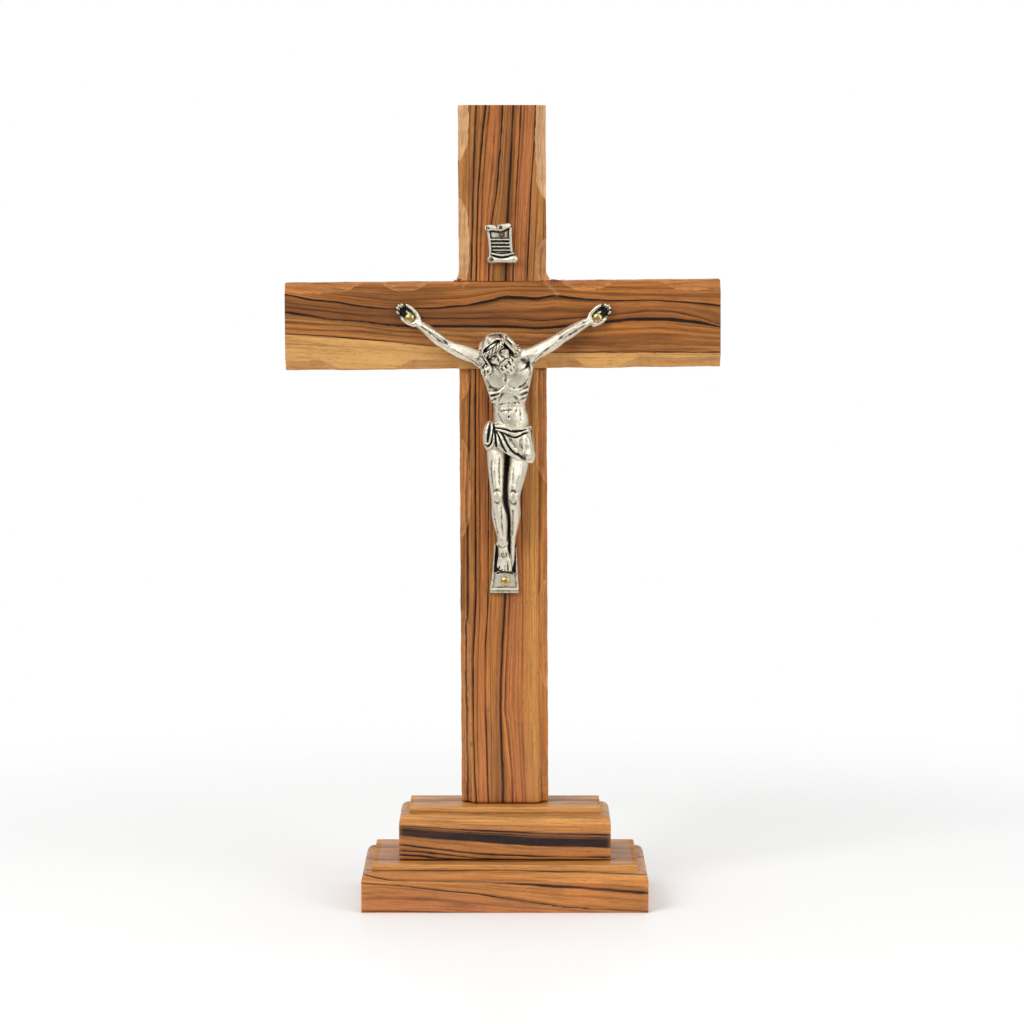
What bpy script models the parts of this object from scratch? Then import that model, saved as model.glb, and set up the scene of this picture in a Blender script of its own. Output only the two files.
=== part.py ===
"""A standing altar crucifix: a lapped wooden cross on a two-step moulded base, with a cast figure and
a cast scroll pinned to it.

The base's underside is on the floor, the origin is at its centre, +Z is up and the figure faces -Y.
Sizes are in metres.
"""

import math

import bmesh
import bpy
from mathutils import Matrix, Vector

# The cross. The crossbar passes in front of the shaft in a half lap, and their faces are flush.
SHAFT_WIDTH = 0.0284
BOARD_THICKNESS = 0.011
CROSS_HEIGHT = 0.2278
CROSSBAR_LENGTH = 0.1414
CROSSBAR_HEIGHT = 0.0283
HEAD_LENGTH = 0.0569  # the shaft above the crossbar
LAP_DEPTH = 0.0055  # what the crossbar keeps of its thickness where it crosses the shaft

# The carved edges: long shallow scoops of this width, seen from the front, with ends that run out.
SCOOP_WIDTH = 0.0033
SCOOP_RUN_OUT = 0.0085

# The base blocks, each with a raised field, a narrow ledge and a quarter round worked on its top edge.
LOWER_BLOCK = Vector((0.0928, 0.0546, 0.015))
UPPER_BLOCK = Vector((0.0690, 0.0306, 0.0166))
FIELD_RISE = 0.0021
LEDGE = 0.0005
ROUND_RADIUS = 0.0028

# Fits.
SEAT_GAP = 0.0003  # between faces that rest on each other
HOLE_GAP = 0.00015  # round a pin, a dowel or a screw

# The dowels and the screws that hold the cross on its base, driven from below.
DOWEL_RADIUS = 0.002
DOWEL_DEPTH = 0.0095  # how far it goes into each piece
DOWEL_SPACING = 0.0176
SCREW_RADIUS = 0.0018
SCREW_HEAD_RADIUS = 0.0035
SCREW_HEAD_HEIGHT = 0.0022
SCREW_POINT = 0.004
SCREW_DRIVE_RADIUS = 0.0019
SCREW_DRIVE_WIDTH = 0.0007
SCREW_DRIVE_DEPTH = 0.0011
SHAFT_SCREW_SINK = 0.006  # the depth of the counterbore under its head
SHAFT_SCREW_BITE = 0.021  # how far it goes into the shaft's end grain
BLOCK_SCREW_SINK = 0.0006
BLOCK_SCREW_BITE = 0.0105
BLOCK_SCREW_SPACING = 0.044

# The pins. A hand pin's head lies in the palm, the foot pin's on the foot plate.
PIN_RADIUS = 0.0006
PIN_HEAD_RADIUS = 0.00145
PIN_HEAD_HEIGHT = 0.0007
PIN_BITE = 0.0055  # how far a pin goes into the wood
PIN_POINT = 0.0014
SCROLL_PIN_HEAD_RADIUS = 0.0009

# The cast figure. The pins in its hands are level, and its heights are shares of the drop from them to
# the foot pin.
HAND_PIN_REACH = 0.0304
HAND_PIN_RISE = 0.0025  # above the crossbar's middle
FOOT_PIN_DROP = 0.0858
FOOT_PIN_OFFSET = 0.0005
HAND_LENGTH = 0.0085
HAND_WIDTH = 0.0046
HAND_THICKNESS = 0.0022
FOOT_PLATE_THICKNESS = 0.0015
FOOT_PLATE_TOP_WIDTH = 0.0068
FOOT_PLATE_BOTTOM_WIDTH = 0.0092
FOOT_PLATE_LENGTH = 0.015
FOOT_PLATE_BELOW_PIN = 0.0028

# The cast scroll above the figure.
SCROLL_WIDTH = 0.0082
SCROLL_HEIGHT = 0.0104
SCROLL_THICKNESS = 0.0011
SCROLL_ROLL_RADIUS = 0.0011
SCROLL_RISE = 0.0122  # its middle above the crossbar
SCROLL_PIN_RISE = 0.0029  # above the scroll's middle
SCROLL_PIN_OFFSET = -0.0007

# Places that follow from the sizes above.
UPPER_BLOCK_Z = LOWER_BLOCK.z + SEAT_GAP
SHAFT_Z = UPPER_BLOCK_Z + UPPER_BLOCK.z + SEAT_GAP
TOP_Z = SHAFT_Z + CROSS_HEIGHT
CROSSBAR_TOP_Z = TOP_Z - HEAD_LENGTH
CROSSBAR_BOTTOM_Z = CROSSBAR_TOP_Z - CROSSBAR_HEIGHT
CROSSBAR_Z = (CROSSBAR_TOP_Z + CROSSBAR_BOTTOM_Z) / 2
FRONT_Y = -BOARD_THICKNESS / 2
BACK_Y = BOARD_THICKNESS / 2
LAP_Y = FRONT_Y + LAP_DEPTH
CASTING_Y = FRONT_Y - SEAT_GAP  # the plane of the castings' backs
HAND_PIN_Z = CROSSBAR_Z + HAND_PIN_RISE
FOOT_PIN_Z = HAND_PIN_Z - FOOT_PIN_DROP
SCROLL_Z = CROSSBAR_TOP_Z + SCROLL_RISE
MORE = 0.002  # what a cutter stands past the face that it cuts


# ---------------------------------------------------------------- tools


def clear_scene():
    for obj in list(bpy.data.objects):
        bpy.data.objects.remove(obj)


def collection(name):
    made = bpy.data.collections.new(name)
    bpy.context.scene.collection.children.link(made)
    return made


def finish(name, colour, roughness, metallic):
    made = bpy.data.materials.new(name)
    made.use_nodes = True
    shader = made.node_tree.nodes["Principled BSDF"]
    shader.inputs["Base Color"].default_value = (*colour, 1)
    shader.inputs["Roughness"].default_value = roughness
    shader.inputs["Metallic"].default_value = metallic
    return made


def into(obj, group):
    for old in list(obj.users_collection):
        old.objects.unlink(obj)
    group.objects.link(obj)
    return obj


def helper(obj):
    """Marks a cutter, which isn't a part."""
    obj.hide_render = True
    obj.display_type = "WIRE"
    return into(obj, CUTTERS)


def part(obj, name, material):
    obj.name = name
    obj.data.materials.clear()
    obj.data.materials.append(material)
    obj.parent = ORIGIN
    return into(obj, PARTS)


def mesh_object(name, bm):
    mesh = bpy.data.meshes.new(name)
    bm.to_mesh(mesh)
    bm.free()
    obj = bpy.data.objects.new(name, mesh)
    bpy.context.scene.collection.objects.link(obj)
    return obj


def block(name, low, high, place=None):
    """A box between two corners, in the frame that the matrix place gives."""
    low, high = Vector(low), Vector(high)
    bm = bmesh.new()
    bmesh.ops.create_cube(bm, size=1)
    bmesh.ops.scale(bm, vec=high - low, verts=bm.verts)
    obj = mesh_object(name, bm)
    obj.matrix_world = (place or Matrix()) @ Matrix.Translation((low + high) / 2)
    return obj


def ball(name, radii, place):
    """An ellipsoid, turned and moved by the matrix place."""
    bm = bmesh.new()
    bmesh.ops.create_uvsphere(bm, u_segments=14, v_segments=9, radius=1)
    bmesh.ops.scale(bm, vec=radii, verts=bm.verts)
    obj = mesh_object(name, bm)
    obj.matrix_world = place
    return obj


def turned(name, profile, place, steps=24):
    """A solid turned about its own Z from (radius, height) points, listed from the top down."""
    mesh = bpy.data.meshes.new(name)
    points = [(radius, 0, height) for radius, height in profile]
    mesh.from_pydata(points, [(i, i + 1) for i in range(len(points) - 1)], [])
    obj = bpy.data.objects.new(name, mesh)
    bpy.context.scene.collection.objects.link(obj)
    lathe = obj.modifiers.new("Turn", "SCREW")
    lathe.steps = lathe.render_steps = steps
    lathe.use_merge_vertices = True
    lathe.merge_threshold = 1e-6
    obj.matrix_world = place
    return obj


def outline(name, points, thickness, place):
    """A flat outline in its own XY plane, extruded to half its thickness each way."""
    curve = bpy.data.curves.new(name, "CURVE")
    curve.dimensions = "2D"
    curve.fill_mode = "BOTH"
    curve.extrude = thickness / 2
    spline = curve.splines.new("POLY")
    spline.points.add(len(points) - 1)
    for point, (x, y) in zip(spline.points, points, strict=True):
        point.co = (x, y, 0, 1)
    spline.use_cyclic_u = True
    obj = bpy.data.objects.new(name, curve)
    bpy.context.scene.collection.objects.link(obj)
    obj.matrix_world = place
    return as_mesh(obj)


def limb(name, stations, flatness=1.0):
    """A smooth tapered tube through (x, y, z, radius) stations. Flatness is its depth over its width."""
    curve = bpy.data.curves.new(name, "CURVE")
    curve.dimensions = "3D"
    curve.bevel_depth = 1
    curve.bevel_resolution = 3
    curve.use_fill_caps = True
    curve.resolution_u = 3
    spline = curve.splines.new("NURBS")
    spline.points.add(len(stations) - 1)
    for point, (x, y, z, radius) in zip(spline.points, stations, strict=True):
        point.co = (x, y / flatness, z, 1)
        point.radius = radius
    spline.order_u = 4
    spline.use_endpoint_u = True
    obj = bpy.data.objects.new(name, curve)
    bpy.context.scene.collection.objects.link(obj)
    obj.scale = (1, flatness, 1)
    return as_mesh(obj)


def as_mesh(obj):
    """The evaluated object as a plain mesh in world space, its caps welded."""
    bpy.context.view_layer.update()
    graph = bpy.context.evaluated_depsgraph_get()
    mesh = bpy.data.meshes.new_from_object(obj.evaluated_get(graph))
    bm = bmesh.new()
    bm.from_mesh(mesh)
    bmesh.ops.transform(bm, matrix=obj.matrix_world, verts=bm.verts)
    bmesh.ops.remove_doubles(bm, verts=bm.verts, dist=1e-7)
    bmesh.ops.recalc_face_normals(bm, faces=bm.faces)
    name = obj.name
    bpy.data.objects.remove(obj)
    bpy.data.meshes.remove(mesh)
    return mesh_object(name, bm)


def boolean(target, other, operation):
    modifier = target.modifiers.new(other.name, "BOOLEAN")
    modifier.operation = operation
    modifier.object = helper(other)


def cut(target, *cutters):
    for cutter in cutters:
        boolean(target, cutter, "DIFFERENCE")


def add(target, *others):
    for other in others:
        boolean(target, other, "UNION")


def along(direction, at):
    """The matrix that stands a piece's own +Z along a direction, at a point."""
    return Matrix.Translation(at) @ Vector(direction).to_track_quat("Z", "Y").to_matrix().to_4x4()


# ---------------------------------------------------------------- the carved edges


def scoop(name, edge_start, edge_end, inward, starts_open, ends_open):
    """A cutter for one carved scoop along an edge. Inward points from the edge into the wood, at 45 degrees
    to its faces. An open end runs past the end of the edge, the other kind rises out over its run-out."""
    start, end = Vector(edge_start), Vector(edge_end)
    direction = (end - start).normalized()
    length = (end - start).length
    run_out = min(SCOOP_RUN_OUT, length / 2)
    depth = SCOOP_WIDTH / math.sqrt(2)
    rise = [(k / 4, math.sin(math.pi / 2 * k / 4)) for k in range(5)]
    slope = [(run_out * far, depth * deep - SEAT_GAP * (1 - deep)) for far, deep in rise]
    floor = [(-MORE, depth)] if starts_open else slope
    if ends_open:
        floor = [*floor, (length + MORE, depth)]
    else:
        floor = [*floor, *((length - far, deep) for far, deep in reversed(slope))]
    points = [(floor[0][0], -MORE), *floor, (floor[-1][0], -MORE)]
    across = direction.cross(Vector(inward).normalized())
    place = Matrix((direction, Vector(inward).normalized(), across)).transposed().to_4x4()
    place.translation = start
    return outline(name, points, 4 * SCOOP_WIDTH, place)


def shaft_scoops():
    """The scoops on the shaft's two front edges, placed from its top, the crossbar and its foot."""
    above, below = CROSSBAR_TOP_Z + SEAT_GAP, CROSSBAR_BOTTOM_Z - SEAT_GAP
    runs = {
        -1: (
            (TOP_Z - 0.0192, TOP_Z, False, True),
            (above, above + 0.0283, True, False),
            (below - 0.0107, below, False, True),
            (below - 0.0560, below - 0.0212, False, False),
            (SHAFT_Z, SHAFT_Z + 0.0650, True, False),
        ),
        1: (
            (TOP_Z - 0.0312, TOP_Z, False, True),
            (above, above + 0.0150, True, False),
            (below - 0.0380, below, False, True),
            (SHAFT_Z + 0.0370, SHAFT_Z + 0.0750, False, False),
            (SHAFT_Z, SHAFT_Z + 0.0165, True, False),
        ),
    }
    for side, spans in runs.items():
        for number, (low, high, low_open, high_open) in enumerate(spans):
            start = (side * SHAFT_WIDTH / 2, FRONT_Y, low)
            end = (side * SHAFT_WIDTH / 2, FRONT_Y, high)
            yield scoop(f"shaft_scoop_{side}_{number}", start, end, (-side, 1, 0), low_open, high_open)


def crossbar_scoops():
    """The scoops on the crossbar's two front edges. Distances run outwards from the shaft's side, and None
    is the crossbar's end."""
    runs = {
        (-1, 1): ((0.0094, 0.0256, False, False), (0.0311, None, False, True)),
        (-1, -1): ((0.0, 0.0213, True, False), (0.0386, None, False, True)),
        (1, 1): ((0.0042, 0.0227, False, False), (0.0363, None, False, True)),
        (1, -1): ((0.0, 0.0133, True, False), (0.0227, None, False, True)),
    }
    root, end_x = SHAFT_WIDTH / 2, CROSSBAR_LENGTH / 2
    for (side, edge), spans in runs.items():
        z = CROSSBAR_TOP_Z if edge > 0 else CROSSBAR_BOTTOM_Z
        for number, (near, far, near_open, far_open) in enumerate(spans):
            start = (side * (root + near + (MORE if near_open else 0)), FRONT_Y, z)
            end = (side * (end_x if far is None else root + far), FRONT_Y, z)
            name = f"crossbar_scoop_{side}_{edge}_{number}"
            yield scoop(name, start, end, (0, 1, -edge), near_open, far_open)


# ---------------------------------------------------------------- fasteners


def pin_profile(length, head_radius, extra=0.0):
    """A round-headed pin, its head above 0 and its point down. Extra makes the bore that it goes in."""
    radius = PIN_RADIUS + extra
    angles = [math.pi / 2 * k / 3 for k in range(4)]
    dome = [(head_radius * math.sin(a), PIN_HEAD_HEIGHT * math.cos(a)) for a in angles]
    return [*dome, (radius, 0), (radius, PIN_POINT - length), (0, -length)]


def screw_profile(length, extra=0.0, sink=0.0):
    """A countersunk wood screw, its head's top at 0 and its point down. Extra and sink make its hole, with
    the counterbore over its head."""
    head, shank = SCREW_HEAD_RADIUS + extra, SCREW_RADIUS + extra
    top = [(0, sink), (head, sink), (head, 0)] if sink else [(0, 0), (head, 0)]
    rim = -0.0003
    return [
        *top,
        (head, rim),
        (shank, -SCREW_HEAD_HEIGHT - extra),
        (shank, SCREW_POINT - length - extra),
        (0, -length - extra),
    ]


def wood_screw(name, length, place):
    """A wood screw with a cross drive."""
    screw = turned(name, screw_profile(length), place)
    for turn in (0, math.pi / 2):
        arm = block(
            f"{name}_drive",
            (-SCREW_DRIVE_RADIUS, -SCREW_DRIVE_WIDTH / 2, -SCREW_DRIVE_DEPTH),
            (SCREW_DRIVE_RADIUS, SCREW_DRIVE_WIDTH / 2, MORE),
            place @ Matrix.Rotation(turn, 4, "Z"),
        )
        cut(screw, arm)
    return part(screw, name, STEEL)


def from_below(x, sink):
    """Where a screw driven upwards from the base's underside stands, its head sunk."""
    return Matrix.Translation((x, 0, sink)) @ Matrix.Rotation(math.pi, 4, "X")


def screws():
    """(name, place, length, sink) of each screw."""
    length = SHAFT_Z + SHAFT_SCREW_BITE - SHAFT_SCREW_SINK
    yield "shaft_screw", from_below(0, SHAFT_SCREW_SINK), length, SHAFT_SCREW_SINK
    for side, word in ((-1, "left"), (1, "right")):
        length = UPPER_BLOCK_Z + BLOCK_SCREW_BITE - BLOCK_SCREW_SINK
        x = side * BLOCK_SCREW_SPACING / 2
        yield f"block_screw_{word}", from_below(x, BLOCK_SCREW_SINK), length, BLOCK_SCREW_SINK


def cut_screw_holes(piece):
    for name, place, length, sink in screws():
        hole = turned(f"{piece.name}_{name}_hole", screw_profile(length, HOLE_GAP, sink + MORE), place)
        cut(piece, hole)


def dowel_places():
    for side, word in ((-1, "left"), (1, "right")):
        yield f"dowel_{word}", Vector((side * DOWEL_SPACING / 2, 0, SHAFT_Z - SEAT_GAP / 2))


def cut_dowel_holes(piece):
    reach = DOWEL_DEPTH + SEAT_GAP
    for name, middle in dowel_places():
        profile = [
            (0, reach),
            (DOWEL_RADIUS + HOLE_GAP, reach),
            (DOWEL_RADIUS + HOLE_GAP, -reach),
            (0, -reach),
        ]
        cut(piece, turned(f"{piece.name}_{name}_hole", profile, Matrix.Translation(middle)))


def build_dowels():
    """Plain pegs with a chamfer at each end."""
    chamfer = 0.0005
    for name, middle in dowel_places():
        profile = [
            (0, DOWEL_DEPTH),
            (DOWEL_RADIUS - chamfer, DOWEL_DEPTH),
            (DOWEL_RADIUS, DOWEL_DEPTH - chamfer),
            (DOWEL_RADIUS, chamfer - DOWEL_DEPTH),
            (DOWEL_RADIUS - chamfer, -DOWEL_DEPTH),
            (0, -DOWEL_DEPTH),
        ]
        part(turned(name, profile, Matrix.Translation(middle)), name, BEECH)


def pins():
    """(name, seat, length, head radius) of each pin. Its head's underside is at the seat."""
    palm = CASTING_Y - HAND_THICKNESS
    for side, word in ((-1, "left"), (1, "right")):
        seat = Vector((side * HAND_PIN_REACH, palm - SEAT_GAP, HAND_PIN_Z))
        yield f"hand_pin_{word}", seat, FRONT_Y - seat.y + PIN_BITE, PIN_HEAD_RADIUS
    seat = Vector((FOOT_PIN_OFFSET, CASTING_Y - FOOT_PLATE_THICKNESS - SEAT_GAP, FOOT_PIN_Z))
    yield "foot_pin", seat, FRONT_Y - seat.y + PIN_BITE, PIN_HEAD_RADIUS
    seat = Vector((SCROLL_PIN_OFFSET, CASTING_Y - SCROLL_THICKNESS - SEAT_GAP, SCROLL_Z + SCROLL_PIN_RISE))
    yield "scroll_pin", seat, FRONT_Y - seat.y + PIN_BITE, SCROLL_PIN_HEAD_RADIUS


def cut_pin_bores(piece, *wanted):
    radius = PIN_RADIUS + HOLE_GAP
    for name, seat, length, _ in pins():
        if name in wanted:
            depth = length + SEAT_GAP
            profile = [(0, MORE), (radius, MORE), (radius, -depth), (0, -depth)]
            cut(piece, turned(f"{piece.name}_{name}_hole", profile, along((0, -1, 0), seat)))


def build_pins():
    for name, seat, length, head_radius in pins():
        pin = turned(name, pin_profile(length, head_radius), along((0, -1, 0), seat), steps=16)
        part(pin, name, AGED_BRASS if name == "scroll_pin" else BRASS)


# ---------------------------------------------------------------- the base


def moulded_block(name, size, z):
    """A base block: a body whose top edges are worked to a quarter round, and the raised field on it."""
    body = block(name, (-size.x / 2, -size.y / 2, z), (size.x / 2, size.y / 2, z + size.z - FIELD_RISE))
    bm = bmesh.new()
    bm.from_mesh(body.data)
    weight = bm.edges.layers.float.new("bevel_weight_edge")
    top = max(vert.co.z for vert in bm.verts)
    for edge in bm.edges:
        if all(abs(vert.co.z - top) < 1e-6 for vert in edge.verts):
            edge[weight] = 1
    bm.to_mesh(body.data)
    bm.free()
    quarter_round = body.modifiers.new("Quarter round", "BEVEL")
    quarter_round.limit_method = "WEIGHT"
    quarter_round.width = ROUND_RADIUS
    quarter_round.segments = 6
    inset = ROUND_RADIUS + LEDGE
    field = block(
        f"{name}_field",
        (inset - size.x / 2, inset - size.y / 2, z + size.z - 2 * FIELD_RISE),
        (size.x / 2 - inset, size.y / 2 - inset, z + size.z),
    )
    add(body, field)
    return part(body, name, OLIVE)


def build_base():
    lower = moulded_block("lower_block", LOWER_BLOCK, 0)
    cut_screw_holes(lower)
    upper = moulded_block("upper_block", UPPER_BLOCK, UPPER_BLOCK_Z)
    cut_screw_holes(upper)
    cut_dowel_holes(upper)
    for name, place, length, _ in screws():
        wood_screw(name, length, place)


# ---------------------------------------------------------------- the cross


def build_shaft():
    shaft = block("shaft", (-SHAFT_WIDTH / 2, FRONT_Y, SHAFT_Z), (SHAFT_WIDTH / 2, BACK_Y, TOP_Z))
    lap = block(
        "shaft_lap",
        (-SHAFT_WIDTH / 2 - MORE, FRONT_Y - MORE, CROSSBAR_BOTTOM_Z - SEAT_GAP),
        (SHAFT_WIDTH / 2 + MORE, LAP_Y + SEAT_GAP, CROSSBAR_TOP_Z + SEAT_GAP),
    )
    part(shaft, "shaft", OLIVE)
    cut(shaft, lap, *shaft_scoops())
    cut_screw_holes(shaft)
    cut_dowel_holes(shaft)
    cut_pin_bores(shaft, "foot_pin", "scroll_pin")


def build_crossbar():
    end = CROSSBAR_LENGTH / 2
    crossbar = block("crossbar", (-end, FRONT_Y, CROSSBAR_BOTTOM_Z), (end, BACK_Y, CROSSBAR_TOP_Z))
    side = SHAFT_WIDTH / 2 + SEAT_GAP
    lap = block(
        "crossbar_lap",
        (-side, LAP_Y, CROSSBAR_BOTTOM_Z - MORE),
        (side, BACK_Y + MORE, CROSSBAR_TOP_Z + MORE),
    )
    part(crossbar, "crossbar", OLIVE)
    cut(crossbar, lap, *crossbar_scoops())
    cut_pin_bores(crossbar, "hand_pin_left", "hand_pin_right")


# ---------------------------------------------------------------- the castings


def figure_z(share):
    """A height on the figure, as a share of the way down from the hand pins to the foot pin."""
    return HAND_PIN_Z - share * FOOT_PIN_DROP


def figure_limb(name, stations, flatness=1.0):
    """A limb from (x, forward, share, radius): millimetres, forward from the casting's back, and a share."""
    placed = [
        (x * 0.001, CASTING_Y - forward * 0.001, figure_z(share), radius * 0.001)
        for x, forward, share, radius in stations
    ]
    return limb(name, placed, flatness)


def build_arm(side, shoulder_x, shoulder_share):
    """An arm, raised from the shoulder to the hand on the crossbar, and the flat open hand at its end."""
    reach = HAND_PIN_REACH * 1000
    wrist_x = reach - 2.8
    elbow_x = shoulder_x + 0.56 * (wrist_x - shoulder_x)
    arm = figure_limb(
        f"arm_{side}",
        [
            (side * (shoulder_x - 4.0), 4.6, shoulder_share + 0.030, 2.6),
            (side * shoulder_x, 4.8, shoulder_share, 2.4),
            (side * (shoulder_x + elbow_x) / 2, 4.6, shoulder_share * 0.78 + 0.01, 1.7),
            (side * elbow_x, 4.2, shoulder_share * 0.52, 1.75),
            (side * (elbow_x + 3.0), 3.4, shoulder_share * 0.40, 2.05),
            (side * wrist_x, 2.0, 0.016, 1.45),
            (side * (reach - 0.6), 1.3, -0.004, 1.05),
        ],
    )
    lean = math.radians(36)
    middle = Vector((side * (HAND_PIN_REACH + 0.0012), CASTING_Y - HAND_THICKNESS / 2, HAND_PIN_Z + 0.0012))
    turn = Matrix.Rotation(-side * lean, 4, "Y")
    hand = ball(
        f"hand_{side}",
        (HAND_LENGTH / 2, HAND_THICKNESS / 2 / 0.94, HAND_WIDTH / 2),
        Matrix.Translation(middle) @ turn,
    )
    at_hand = Matrix.Translation((middle.x, 0, middle.z)) @ turn
    palm = block(
        f"palm_{side}",
        (-HAND_LENGTH / 2, CASTING_Y - HAND_THICKNESS - MORE, -HAND_WIDTH),
        (HAND_LENGTH / 2, CASTING_Y - HAND_THICKNESS, HAND_WIDTH),
        at_hand,
    )
    back = block(
        f"hand_back_{side}",
        (-HAND_LENGTH, CASTING_Y, -HAND_WIDTH),
        (HAND_LENGTH, CASTING_Y + MORE, HAND_WIDTH),
        at_hand,
    )
    return arm, hand, palm, back


def foot_plate():
    """The tapered plate that the feet stand against, pinned to the shaft below them."""
    bottom = FOOT_PIN_Z - FOOT_PLATE_BELOW_PIN
    top = bottom + FOOT_PLATE_LENGTH
    half_top, half_bottom = FOOT_PLATE_TOP_WIDTH / 2, FOOT_PLATE_BOTTOM_WIDTH / 2
    points = [(-half_bottom, bottom), (half_bottom, bottom), (half_top, top), (-half_top, top)]
    middle = CASTING_Y - FOOT_PLATE_THICKNESS / 2
    place = Matrix.Translation((FOOT_PIN_OFFSET, middle, 0)) @ Matrix.Rotation(math.pi / 2, 4, "X")
    return outline("foot_plate", points, FOOT_PLATE_THICKNESS, place)


def build_corpus():
    """The figure, one casting: trunk, cloth, head, arms, legs and the foot plate."""
    trunk = figure_limb(
        "corpus",
        [
            (0.8, 5.2, 0.148, 4.6),
            (0.8, 5.2, 0.180, 7.4),
            (0.9, 5.2, 0.215, 7.9),
            (1.2, 5.1, 0.250, 7.2),
            (1.7, 4.9, 0.296, 5.5),
            (2.0, 4.7, 0.335, 5.4),
            (2.1, 4.8, 0.375, 6.6),
            (2.0, 5.0, 0.440, 7.0),
            (2.0, 5.2, 0.500, 6.0),
        ],
        flatness=0.54,
    )
    cloth = figure_limb(
        "cloth",
        [
            (1.9, 5.1, 0.400, 7.0),
            (1.7, 5.2, 0.430, 8.3),
            (1.9, 5.3, 0.480, 8.4),
            (2.3, 5.5, 0.520, 8.0),
            (3.0, 5.8, 0.548, 6.6),
        ],
        flatness=0.56,
    )
    neck = figure_limb("neck", [(0.9, 5.2, 0.185, 2.6), (0.0, 6.2, 0.155, 2.3), (-1.4, 7.4, 0.120, 2.3)])
    lean = Matrix.Rotation(math.radians(-34), 4, "Y")
    nod = Matrix.Rotation(math.radians(14), 4, "X")
    head_at = Matrix.Translation((-0.0017, CASTING_Y - 0.0085, figure_z(0.128)))
    head = ball("head", (0.0042, 0.0047, 0.0062), head_at @ lean @ nod)
    hair_at = Matrix.Translation((-0.0022, CASTING_Y - 0.0068, figure_z(0.118)))
    hair = ball("hair", (0.0055, 0.0045, 0.0066), hair_at @ lean)
    locks = figure_limb(
        "locks",
        [
            (-6.3, 5.6, 0.105, 1.7),
            (-6.6, 6.0, 0.145, 1.8),
            (-5.4, 6.6, 0.185, 1.6),
            (-3.6, 6.8, 0.215, 1.0),
        ],
    )
    knot = ball(
        "cloth_knot",
        (0.0018, 0.0016, 0.0052),
        Matrix.Translation((-0.0047, CASTING_Y - 0.0086, figure_z(0.445))),
    )
    near_leg = figure_limb(
        "leg_left",
        [
            (-2.0, 5.4, 0.500, 3.1),
            (-2.3, 6.4, 0.570, 2.9),
            (-2.2, 7.8, 0.640, 2.2),
            (-2.0, 8.3, 0.685, 1.9),
            (-1.9, 7.0, 0.740, 2.3),
            (-1.3, 5.6, 0.805, 1.7),
            (-0.5, 4.8, 0.860, 1.35),
            (0.1, 4.7, 0.905, 1.75),
            (0.4, 3.6, 0.955, 1.9),
        ],
    )
    far_leg = figure_limb(
        "leg_right",
        [
            (4.6, 5.4, 0.500, 3.1),
            (4.3, 6.4, 0.570, 2.8),
            (3.4, 7.8, 0.640, 2.2),
            (2.9, 8.2, 0.685, 1.9),
            (3.1, 6.6, 0.740, 1.95),
            (2.8, 4.9, 0.805, 1.4),
            (2.2, 3.4, 0.860, 1.2),
            (1.4, 2.6, 0.915, 1.4),
            (0.9, 2.0, 0.950, 1.2),
        ],
    )
    add(trunk, cloth, knot, neck, hair, locks, head, near_leg, far_leg, foot_plate())
    for side, shoulder_x, share in ((-1, 7.2, 0.160), (1, 8.6, 0.146)):
        arm, hand, palm, back = build_arm(side, shoulder_x, share)
        add(trunk, arm, hand)
        cut(trunk, palm, back)
    part(trunk, "corpus", CAST_SILVER)
    cut_pin_bores(trunk, "hand_pin_left", "hand_pin_right", "foot_pin")


def build_scroll():
    """The cast scroll: a thin plate with its top rolled over in two curls, and its foot in one."""
    half_width, half_height = SCROLL_WIDTH / 2, SCROLL_HEIGHT / 2
    lean = 0.0006
    points = [
        (lean - half_width, -half_height),
        (lean + half_width, -half_height),
        (half_width, half_height),
        (-lean - half_width, half_height),
    ]
    middle = Matrix.Translation((0, CASTING_Y - SCROLL_THICKNESS / 2, SCROLL_Z))
    scroll = outline("scroll", points, SCROLL_THICKNESS, middle @ Matrix.Rotation(math.pi / 2, 4, "X"))
    rolls = (
        ("scroll_curl_left", (-0.0053, half_height), (-0.0006, half_height + 0.0002)),
        ("scroll_curl_right", (-0.0004, half_height - 0.0001), (0.0052, half_height + 0.0011)),
        ("scroll_foot", (-0.0034, -half_height), (0.0056, -half_height - 0.0002)),
    )
    forward = SCROLL_ROLL_RADIUS + SEAT_GAP
    for name, start, end in rolls:
        stations = [
            (x, CASTING_Y - forward, SCROLL_Z + z, SCROLL_ROLL_RADIUS)
            for x, z in (start, ((start[0] + end[0]) / 2, (start[1] + end[1]) / 2), end)
        ]
        add(scroll, limb(name, [stations[0], stations[1], stations[1], stations[2]]))
    part(scroll, "scroll", CAST_SILVER)
    cut_pin_bores(scroll, "scroll_pin")


clear_scene()
PARTS = collection("Altar crucifix")
CUTTERS = collection("Cutters")
ORIGIN = into(bpy.data.objects.new("base_centre", None), PARTS)
OLIVE = finish("olive wood", (0.52, 0.27, 0.11), 0.38, 0)
BEECH = finish("beech", (0.62, 0.43, 0.26), 0.6, 0)
CAST_SILVER = finish("cast metal, old silver", (0.66, 0.64, 0.58), 0.34, 1)
BRASS = finish("brass", (0.72, 0.53, 0.22), 0.3, 1)
AGED_BRASS = finish("aged brass", (0.22, 0.15, 0.09), 0.5, 1)
STEEL = finish("zinc-plated steel", (0.6, 0.6, 0.62), 0.35, 1)

build_base()
build_shaft()
build_crossbar()
build_dowels()
build_pins()
build_corpus()
build_scroll()
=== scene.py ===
import math
from functools import reduce
from itertools import product

import bmesh
import bpy
import numpy as np
from mathutils import Matrix, Vector


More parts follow.
